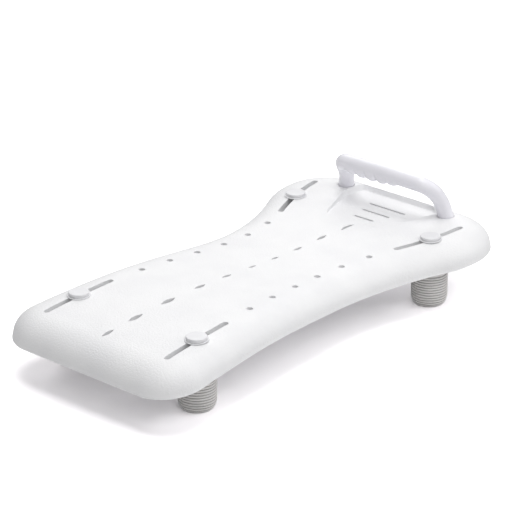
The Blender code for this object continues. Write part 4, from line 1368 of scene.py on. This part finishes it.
@dataclass
class GrabHandle:
    """The bent grab handle with finger ridges under its grip."""

    board: SeatBoard
    post_radius: float = 0.0117
    foot_radius: float = 0.0120
    foot_share: float = 0.20       # of the post, over which its foot flares
    grip_radius: float = 0.0118
    rise: float = 0.0504
    lean: float = 0.0275
    shoulder_inset: float = 0.0105
    bend_radius: float = 0.0195
    arch: float = 0.0033
    crown_blend: float = 0.022     # half of the stretch over which the crown is rounded
    grip_step: float = 0.0010
    finger_count: int = 5
    finger_pitch: float = 0.0199
    finger_depth: float = 0.0062
    finger_start: float = -0.0325
    bore_radius: float = 0.0048
    bore_depth: float = 0.0169
    sides: int = 64

    def spine(self) -> list[tuple[float, float, float]]:
        """Y, height and tube radius along the handle, right-hand post first."""
        foot = Vector((self.board.post_spacing / 2, 0.0))
        shoulder = Vector((foot.x - self.shoulder_inset, self.rise))
        crown = Vector((0.0, self.rise + self.arch))
        start, centre, end, turn = fillet(foot, shoulder, crown, self.bend_radius)
        post = []
        for index in range(13):
            share = index / 12
            flare = max(0.0, 1 - share / self.foot_share) ** 2
            radius = self.post_radius + (self.foot_radius - self.post_radius) * flare
            post.append((foot.lerp(start, share), radius))
        for index in range(1, 25):
            share = index / 24
            ease = share * share * (3 - 2 * share)
            radius = self.post_radius + (self.grip_radius - self.post_radius) * ease
            post.append((centre + Matrix.Rotation(turn * share, 2) @ (start - centre), radius))
        slope = (crown.y - end.y) / end.x
        blend = self.crown_blend
        steps = 2 * round(end.x / self.grip_step)
        grip = []
        for index in range(1, steps):
            y = -end.x + 2 * end.x * index / steps
            run = abs(y) if abs(y) > blend else blend / 2 + y * y / (2 * blend)
            grip.append((y, crown.y - slope * run, self.grip_radius))
        right = [(-point.x, point.y, radius) for point, radius in post]
        left = [(point.x, point.y, radius) for point, radius in reversed(post)]
        return right + grip + left

    def place(self, y: float, height: float) -> Vector:
        """Lean a flat handle point towards the sitter and set it on the board.

        Args:
            y: Place across the board.
            height: Height over the seat of the posts.

        Returns:
            The point in space.
        """
        x = self.board.post_points()[0].x
        share = max(height, 0.0) / self.rise
        return Vector((x - self.lean * share ** 2, y, self.board.post_seat() + GAP + height))

    def ridge(self, y: float) -> float:
        """Depth of the finger ridges under the grip.

        Args:
            y: Place across the board.

        Returns:
            The depth there, in metres.
        """
        place = (y - self.finger_start) / self.finger_pitch
        if place <= 0.0 or place >= self.finger_count:
            return 0.0
        fade = math.sqrt(math.sin(math.pi * place / self.finger_count))
        return self.finger_depth * fade * math.sin(math.pi * (place % 1.0)) ** 0.6

    def tube(self) -> list[list[Vector]]:
        """Rings of the handle, square to its spine."""
        rows = self.spine()
        centres = [self.place(y, height) for y, height, _ in rows]
        aheads = [after - before for before, after in
                  zip(centres[:1] + centres, centres[1:] + centres[-1:])]
        aheads[0], aheads[-1] = Vector((0.0, 0.0, 1.0)), Vector((0.0, 0.0, -1.0))
        turns = [2 * math.pi * side / self.sides for side in range(self.sides)]
        rings = []
        for (y, _, radius), centre, ahead in zip(rows, centres, aheads):
            ahead.normalize()
            outward = Vector((1.0, 0.0, 0.0))
            outward = (outward - ahead * outward.dot(ahead)).normalized()
            upward = outward.cross(ahead)
            ridge = self.ridge(y)
            rings.append([centre + (outward * math.cos(turn) + upward * math.sin(turn))
                          * (radius + ridge * max(0.0, -math.sin(turn))) for turn in turns])
        return rings

    def bore(self, bm: BMesh) -> None:
        """Sink the insert's bore up into the foot of each post.

        Args:
            bm: Mesh of the handle, closed by one face at each foot.
        """
        for side in (1, -1):
            face = next(face for face in bm.faces if len(face.verts) == self.sides
                        and face.calc_center_median().y * side > 0)
            bmesh.ops.inset_region(bm, faces=[face], thickness=self.foot_radius - self.bore_radius,
                                   depth=0.0)
            up = bmesh.ops.extrude_discrete_faces(bm, faces=[face])["faces"][0]
            bmesh.ops.translate(bm, vec=(0.0, 0.0, self.bore_depth), verts=up.verts[:])

    def build(self, wardrobe: Wardrobe) -> Object:
        """Build the handle and dress it.

        Args:
            wardrobe: The finishes.

        Returns:
            The handle.
        """
        bm = bmesh.new()
        add_stack(bm, self.tube())
        self.bore(bm)
        handle = finish_mesh("grab_handle", bm, 50.0)
        return wardrobe.dress(handle, Slot.HANDLE, "board", "handle")


@dataclass
class HandleFixings:
    """The screw and washer that hold each post of the handle from below."""

    board: SeatBoard
    washer_radius: float = 0.0070
    washer_thickness: float = 0.0012
    screw_radius: float = 0.0025
    head_radius: float = 0.0048
    head_height: float = 0.0034
    head_skirt: float = 0.0014     # upright part of the head
    head_end_radius: float = 0.003456
    entry: float = 0.0120
    socket: float = 0.0030         # across the flats of the hexagon socket
    socket_depth: float = 0.0018
    sides: int = 72

    def build(self, wardrobe: Wardrobe) -> list[Object]:
        """Build both screws and both washers and dress them.

        Args:
            wardrobe: The finishes.

        Returns:
            Washer and screw of the left post, then of the right one.
        """
        half = self.washer_thickness / 2
        middle = self.board.post_seat() - self.board.boss_depth - GAP - half
        top = middle - half - GAP
        bottom = top - self.head_height
        tip = self.board.post_seat() + self.entry
        section = [
            (0.0, tip), (self.screw_radius, tip), (self.screw_radius, top),
            (self.head_radius, top), (self.head_radius, top - self.head_skirt),
            (self.head_end_radius, bottom), (0.0, bottom)]
        radii = {1: 0.0005, 3: 0.0003, 4: 0.0009, 5: 0.0010}
        made = []
        for side, centre in zip(("left", "right"), self.board.post_points()):
            bm = turn_washer(self.washer_radius, self.screw_radius + GAP, half,
                             (0.0002, 0.0003), self.sides)
            bmesh.ops.translate(bm, vec=(*centre, middle), verts=bm.verts[:])
            washer = finish_mesh("handle_washer_shown_%s" % side, bm)
            made.append(wardrobe.dress(washer, Slot.STEEL, "board", "handle_washer_%s" % side))
            screw = finish_mesh("handle_screw_shown_%s" % side,
                                turn_profile(section, radii, self.sides, centre))
            carve(screw, [("DIFFERENCE", hexagon(self.socket, bottom - self.socket_depth,
                                                 bottom + self.socket_depth, centre))])
            made.append(wardrobe.dress(screw, Slot.STEEL, "board", "handle_screw_%s" % side))
        return made


# Feet


@dataclass
class ClampFoot:
    """One clamping foot, from the cap on the seat to the sleeve on the floor."""

    board: SeatBoard
    corner: Corner
    cap_radius: float = 0.0145
    cap_height: float = 0.0029
    cap_chamfer: float = 0.0007
    flange_radius: float = 0.0166
    flange_thickness: float = 0.0012
    bolt_radius: float = 0.0040
    bolt_clearance: float = 0.0004
    head_radius: float = 0.0085
    head_height: float = 0.0020
    washer_radius: float = 0.0165
    washer_thickness: float = 0.0020
    boss_radius: float = 0.0080
    boss_height: float = 0.0008
    hub_flange_radius: float = 0.0225
    hub_flange_thickness: float = 0.0030
    hub_radius: float = 0.0187
    hub_wall: float = 0.0032
    hub_roof: float = 0.0017
    nut_flats: float = 0.0130
    nut_thickness: float = 0.0062
    nut_clear: float = 0.004       # how far the pocket's cutter reaches below the nut
    sleeve_radius: float = 0.0265
    sole_radius: float = 0.0208
    sole_thickness: float = 0.0050
    sole_chamfer: float = 0.0008
    sleeve_chamfer: float = 0.0006
    shoulder_height: float = 0.0150
    shoulder_power: float = 2.6
    ring_pitch: float = MouldedRubber.ring_pitch
    ring_depth: float = 0.0021
    ring_power: float = 0.9        # under 1 for round ribs and narrow grooves
    ring_count: int = 12
    ring_runs: int = 12

    @property
    def slope(self) -> float:
        """Rise of the seating face along the foot's slot, per metre of X."""
        return self.board.form.slot_slope(self.corner)

    @property
    def washer_top(self) -> float:
        """Height of the clamp washer's upper side, under the track."""
        return self.board.form.top - self.board.track_depth - GAP

    @property
    def hub_top(self) -> float:
        """Height of the hub's flange, whose boss just clears the tilted washer."""
        steepest = max(abs(self.board.form.slot_slope(corner)) for corner in Corner)
        washer_bottom = self.washer_top - self.washer_thickness
        return washer_bottom - steepest * self.boss_radius - GAP - self.boss_height

    def tilt(self, bm: BMesh, height: float) -> BMesh:
        """Lay a flat piece along the slot.

        Args:
            bm: The piece, with its middle at the origin.
            height: Where its middle goes.

        Returns:
            The same piece.
        """
        turn = Matrix.Rotation(-math.atan(self.slope), 4, "Y")
        bmesh.ops.transform(bm, matrix=Matrix.Translation((0.0, 0.0, height)) @ turn,
                            verts=bm.verts[:])
        return bm

    def flange_middle(self) -> float:
        """Height of the flange's middle, over the slot's."""
        face = self.board.form.height(self.board.form.slot_middle(self.corner).x)
        return face + GAP + self.flange_thickness / 2

    def cap(self) -> BMesh:
        """Make the round cap over the bolt's head, whose skirt follows the flange."""
        sink = abs(self.slope) * self.cap_radius
        bottom = self.flange_middle() + self.flange_thickness / 2 + GAP + sink
        top = bottom + self.cap_height
        pocket = self.head_radius + GAP
        roof = bottom + self.head_height + GAP
        edge = self.cap_chamfer
        bm = turn_profile([
            (0.0, top), (self.cap_radius - edge, top), (self.cap_radius, top - edge),
            (self.cap_radius, bottom), (pocket, bottom), (pocket, roof), (0.0, roof)],
            {1: 0.0006, 2: 0.0005, 3: 0.0002}, 128)
        skirt = [vert for vert in bm.verts if vert.co.z < bottom + GAP]
        for vert in skirt:
            vert.co.z += self.slope * vert.co.x - sink
        return bm

    def flange(self) -> BMesh:
        """Make the thin flange under the cap, which lies along the slot."""
        bore = self.bolt_radius * math.sqrt(2) + self.bolt_clearance
        bm = turn_washer(self.flange_radius, bore, self.flange_thickness / 2,
                         (0.0005, 0.0002), 128)
        return self.tilt(bm, self.flange_middle())

    def washer(self) -> BMesh:
        """Make the clamp washer under the track."""
        half = self.washer_thickness / 2
        bm = turn_washer(self.washer_radius, self.bolt_radius + self.bolt_clearance, half,
                         (0.0004, 0.0004), 96)
        return self.tilt(bm, self.washer_top - half)

    def hub(self) -> BMesh:
        """Make the stiff core of the foot, open below, with a flange on top."""
        top = self.hub_top
        under = top - self.hub_flange_thickness
        boss = top + self.boss_height
        bore = self.bolt_radius + self.bolt_clearance
        inner = self.hub_radius - self.hub_wall
        bottom = self.sole_thickness + GAP
        roof = top - self.hub_roof - self.nut_thickness - 2 * GAP
        return turn_profile([
            (bore, boss), (self.boss_radius, boss), (self.boss_radius, top),
            (self.hub_flange_radius, top), (self.hub_flange_radius, under),
            (self.hub_radius, under), (self.hub_radius, bottom), (inner, bottom),
            (inner, roof), (bore, roof)], {1: 0.0003, 3: 0.0010, 4: 0.0005})

    def nut_pocket(self) -> Object:
        """Make the cutter of the pocket that holds the nut in the hub's roof."""
        top = self.hub_top - self.hub_roof
        bottom = self.hub_top - self.hub_roof - self.nut_thickness - self.nut_clear
        return hexagon(self.nut_flats + 2 * GAP, bottom, top)

    def outer_radius(self, height: float) -> float:
        """Outer radius of the rubber sleeve, drawn in round its lower end.

        Args:
            height: Height over the floor.

        Returns:
            The radius there, without its ribs.
        """
        share = max(0.0, 1 - height / self.shoulder_height)
        drawn_in = (self.sleeve_radius - self.sole_radius) * share ** self.shoulder_power
        return self.sleeve_radius - drawn_in

    def sleeve(self) -> BMesh:
        """Make the ribbed rubber sleeve: a cup with round ribs and narrow grooves."""
        top = self.hub_top - self.hub_flange_thickness - GAP
        inner = self.hub_radius + GAP
        body = self.sleeve_radius - self.ring_depth
        edge = self.sleeve_chamfer
        profile = [(inner, top), (body - edge, top), (body, top - edge)]
        for index in range(self.ring_count * self.ring_runs, 0, -1):
            height = index / self.ring_runs * self.ring_pitch
            crest = abs(math.sin(math.pi * index / self.ring_runs)) ** self.ring_power
            depth = self.ring_depth * (1 - crest)
            profile.append((self.outer_radius(height) - depth, height))
        profile += [(self.sole_radius - self.sole_chamfer, 0.0), (0.0, 0.0),
                    (0.0, self.sole_thickness), (inner, self.sole_thickness)]
        return turn_profile(profile)

    def build(self, wardrobe: Wardrobe) -> list[Object]:
        """Build the foot and dress its pieces.

        Args:
            wardrobe: The finishes.

        Returns:
            Its pieces, from the cap down.
        """
        middle = self.board.form.slot_middle(self.corner)
        label = self.corner.label
        made = []
        for name, shape, body, slot in (
                ("knob_cap", self.cap, "clamp", Slot.CAP),
                ("slot_flange", self.flange, "clamp", Slot.CAP),
                ("clamp_washer", self.washer, "lift", Slot.GREY),
                ("foot_hub", self.hub, "foot", Slot.GREY),
                ("foot_sleeve", self.sleeve, "foot", Slot.RUBBER)):
            sharp = 60.0 if name == "foot_sleeve" else SHARP
            item = finish_mesh("%s_shown_%s" % (name, label), shape(), sharp)
            if name == "foot_hub":
                carve(item, [("DIFFERENCE", self.nut_pocket())])
            item.data.transform(Matrix.Translation((*middle, 0.0)))
            made.append(wardrobe.dress(item, slot, "%s_%s" % (body, label),
                                       "%s_%s" % (name, label)))
        return made


@dataclass
class HiddenFasteners:
    """The CAD nodes that stay: bolts, nuts and inserts."""

    slots: tuple[tuple[str, Slot], ...] = (
        ("clamp_bolt_", Slot.STEEL), ("foot_nut_", Slot.BRASS), ("handle_insert_", Slot.BRASS))

    def build(self, nodes: dict[str, Object], wardrobe: Wardrobe) -> list[Object]:
        """Give each node that stays its finish.

        Args:
            nodes: The CAD nodes by name.
            wardrobe: The finishes.

        Returns:
            The nodes that stay.
        """
        made = []
        for name, node in sorted(nodes.items()):
            for start, slot in self.slots:
                if name.startswith(start):
                    wardrobe.hang(node, slot)
                    made.append(node)
        return made


# Studio


@dataclass
class Studio:
    """Floor, daylight and camera."""

    target: tuple[float, float, float] = (0.01845, 0.02056, 0.096)
    azimuth: float = math.radians(-48.33)
    elevation: float = math.radians(23.06)
    roll: float = math.radians(-0.12)
    distance: float = 3.794
    focal_pixels: float = 2697.8
    image_pixels: int = 512
    sensor: float = 36.0
    floor_size: float = 40.0
    floor_drop: float = 0.0002
    floor_colour: tuple[float, ...] = (0.88, 0.88, 0.88, 1.0)
    floor_mirrored: tuple[float, ...] = (1.05, 1.05, 1.05, 1.0)  # colour seen in gloss
    floor_shown: tuple[float, ...] = (1.86, 1.82, 1.86, 1.0)     # colour seen directly
    sky: float = 0.15
    aim: tuple[float, float, float] = (0.0, 0.0, 0.06)           # where the lamps face
    # Name, place, side length and watts of each lamp
    lamps: tuple[tuple[str, tuple[float, float, float], float, float], ...] = (
        ("overhead", (0.0, 0.0, 2.6), 1.8, 35.5),
        ("by_camera", (-1.8, -1.8, 1.9), 2.5, 23.0),
        ("near_right", (1.8, -1.9, 1.8), 2.5, 31.0),
        ("far_right", (2.0, 2.0, 2.2), 2.5, 34.8))

    def camera(self) -> None:
        """Set up the camera where the photograph was taken from."""
        data = bpy.data.cameras.new("camera")
        data.sensor_width = self.sensor
        data.lens = self.focal_pixels / self.image_pixels * self.sensor
        data.clip_end = 100.0
        camera = bpy.data.objects.new("camera", data)
        turn = (Matrix.Rotation(self.azimuth, 4, "Z")
                @ Matrix.Rotation(QUARTER - self.elevation, 4, "X")
                @ Matrix.Rotation(self.roll, 4, "Z"))
        camera.matrix_world = (Matrix.Translation(self.target) @ turn
                               @ Matrix.Translation((0.0, 0.0, self.distance)))
        bpy.context.scene.collection.objects.link(camera)
        bpy.context.scene.camera = camera

    def light(self) -> None:
        """Hang the soft square lamps, which all face the board."""
        for name, place, size, watts in self.lamps:
            data = bpy.data.lights.new(name, "AREA")
            data.size = size
            data.energy = watts
            lamp = bpy.data.objects.new(name, data)
            lamp.location = place
            facing = Vector(self.aim) - Vector(place)
            lamp.rotation_euler = facing.to_track_quat("-Z", "Y").to_euler()
            bpy.context.scene.collection.objects.link(lamp)

    def floor(self) -> None:
        """Lay a pale floor that shows white to the camera and keeps the shadow."""
        bm = bmesh.new()
        bmesh.ops.create_grid(bm, x_segments=1, y_segments=1, size=self.floor_size / 2)
        bmesh.ops.translate(bm, vec=(0.0, 0.0, -self.floor_drop), verts=bm.verts[:])
        floor = finish_mesh("studio_floor", bm)
        material = bpy.data.materials.new("matt white paint")
        tree = empty_tree(material)
        path = add_node(tree, "ShaderNodeLightPath")
        mirrored = add_node(tree, "ShaderNodeMix", {
            MIX_FACTOR: path.outputs["Is Glossy Ray"], MIX_FIRST: self.floor_colour,
            MIX_SECOND: self.floor_mirrored}, data_type="RGBA")
        paint = add_node(tree, "ShaderNodeMix", {
            MIX_FACTOR: path.outputs["Is Camera Ray"], MIX_FIRST: mirrored.outputs[MIX_RESULT],
            MIX_SECOND: self.floor_shown}, data_type="RGBA")
        matt = add_node(tree, "ShaderNodeBsdfDiffuse", {"Color": paint.outputs[MIX_RESULT]})
        add_node(tree, "ShaderNodeOutputMaterial", {"Surface": matt.outputs["BSDF"]})
        floor.data.materials.append(material)

    def world(self) -> None:
        """Surround the board with even light, which the camera sees as white."""
        world = bpy.data.worlds.new("daylight")
        bpy.context.scene.world = world
        tree = empty_tree(world)
        path = add_node(tree, "ShaderNodeLightPath")
        strength = add_node(tree, "ShaderNodeMapRange", {
            "Value": path.outputs["Is Camera Ray"], "To Min": self.sky, "To Max": 1.0})
        glow = add_node(tree, "ShaderNodeBackground", {
            "Color": (1.0, 1.0, 1.0, 1.0), "Strength": strength.outputs["Result"]})
        add_node(tree, "ShaderNodeOutputWorld", {"Surface": glow.outputs["Background"]})

    def build(self) -> None:
        """Set up the whole studio."""
        self.camera()
        self.floor()
        self.world()
        self.light()
        bpy.context.scene.view_settings.view_transform = "Standard"


def main() -> None:
    """Build the looks piece by piece, in order."""
    logging.basicConfig(level=logging.INFO, format="%(name)s: %(message)s")
    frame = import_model()
    wardrobe = Wardrobe()
    Studio().build()
    LOG.info("studio ready")
    form = BoardForm()
    board = SeatBoard(form, SoapDish(form))
    pieces = [board.build(wardrobe), GrabHandle(board).build(wardrobe)]
    pieces += HandleFixings(board).build(wardrobe)
    for corner in Corner:
        pieces += ClampFoot(board, corner).build(wardrobe)
    pieces += HiddenFasteners().build(frame["nodes"], wardrobe)
    for piece in pieces:
        LOG.info("%s: %d faces", piece.name, len(piece.data.polygons))
    bpy.context.view_layer.update()


if __name__ == "__main__":
    main()
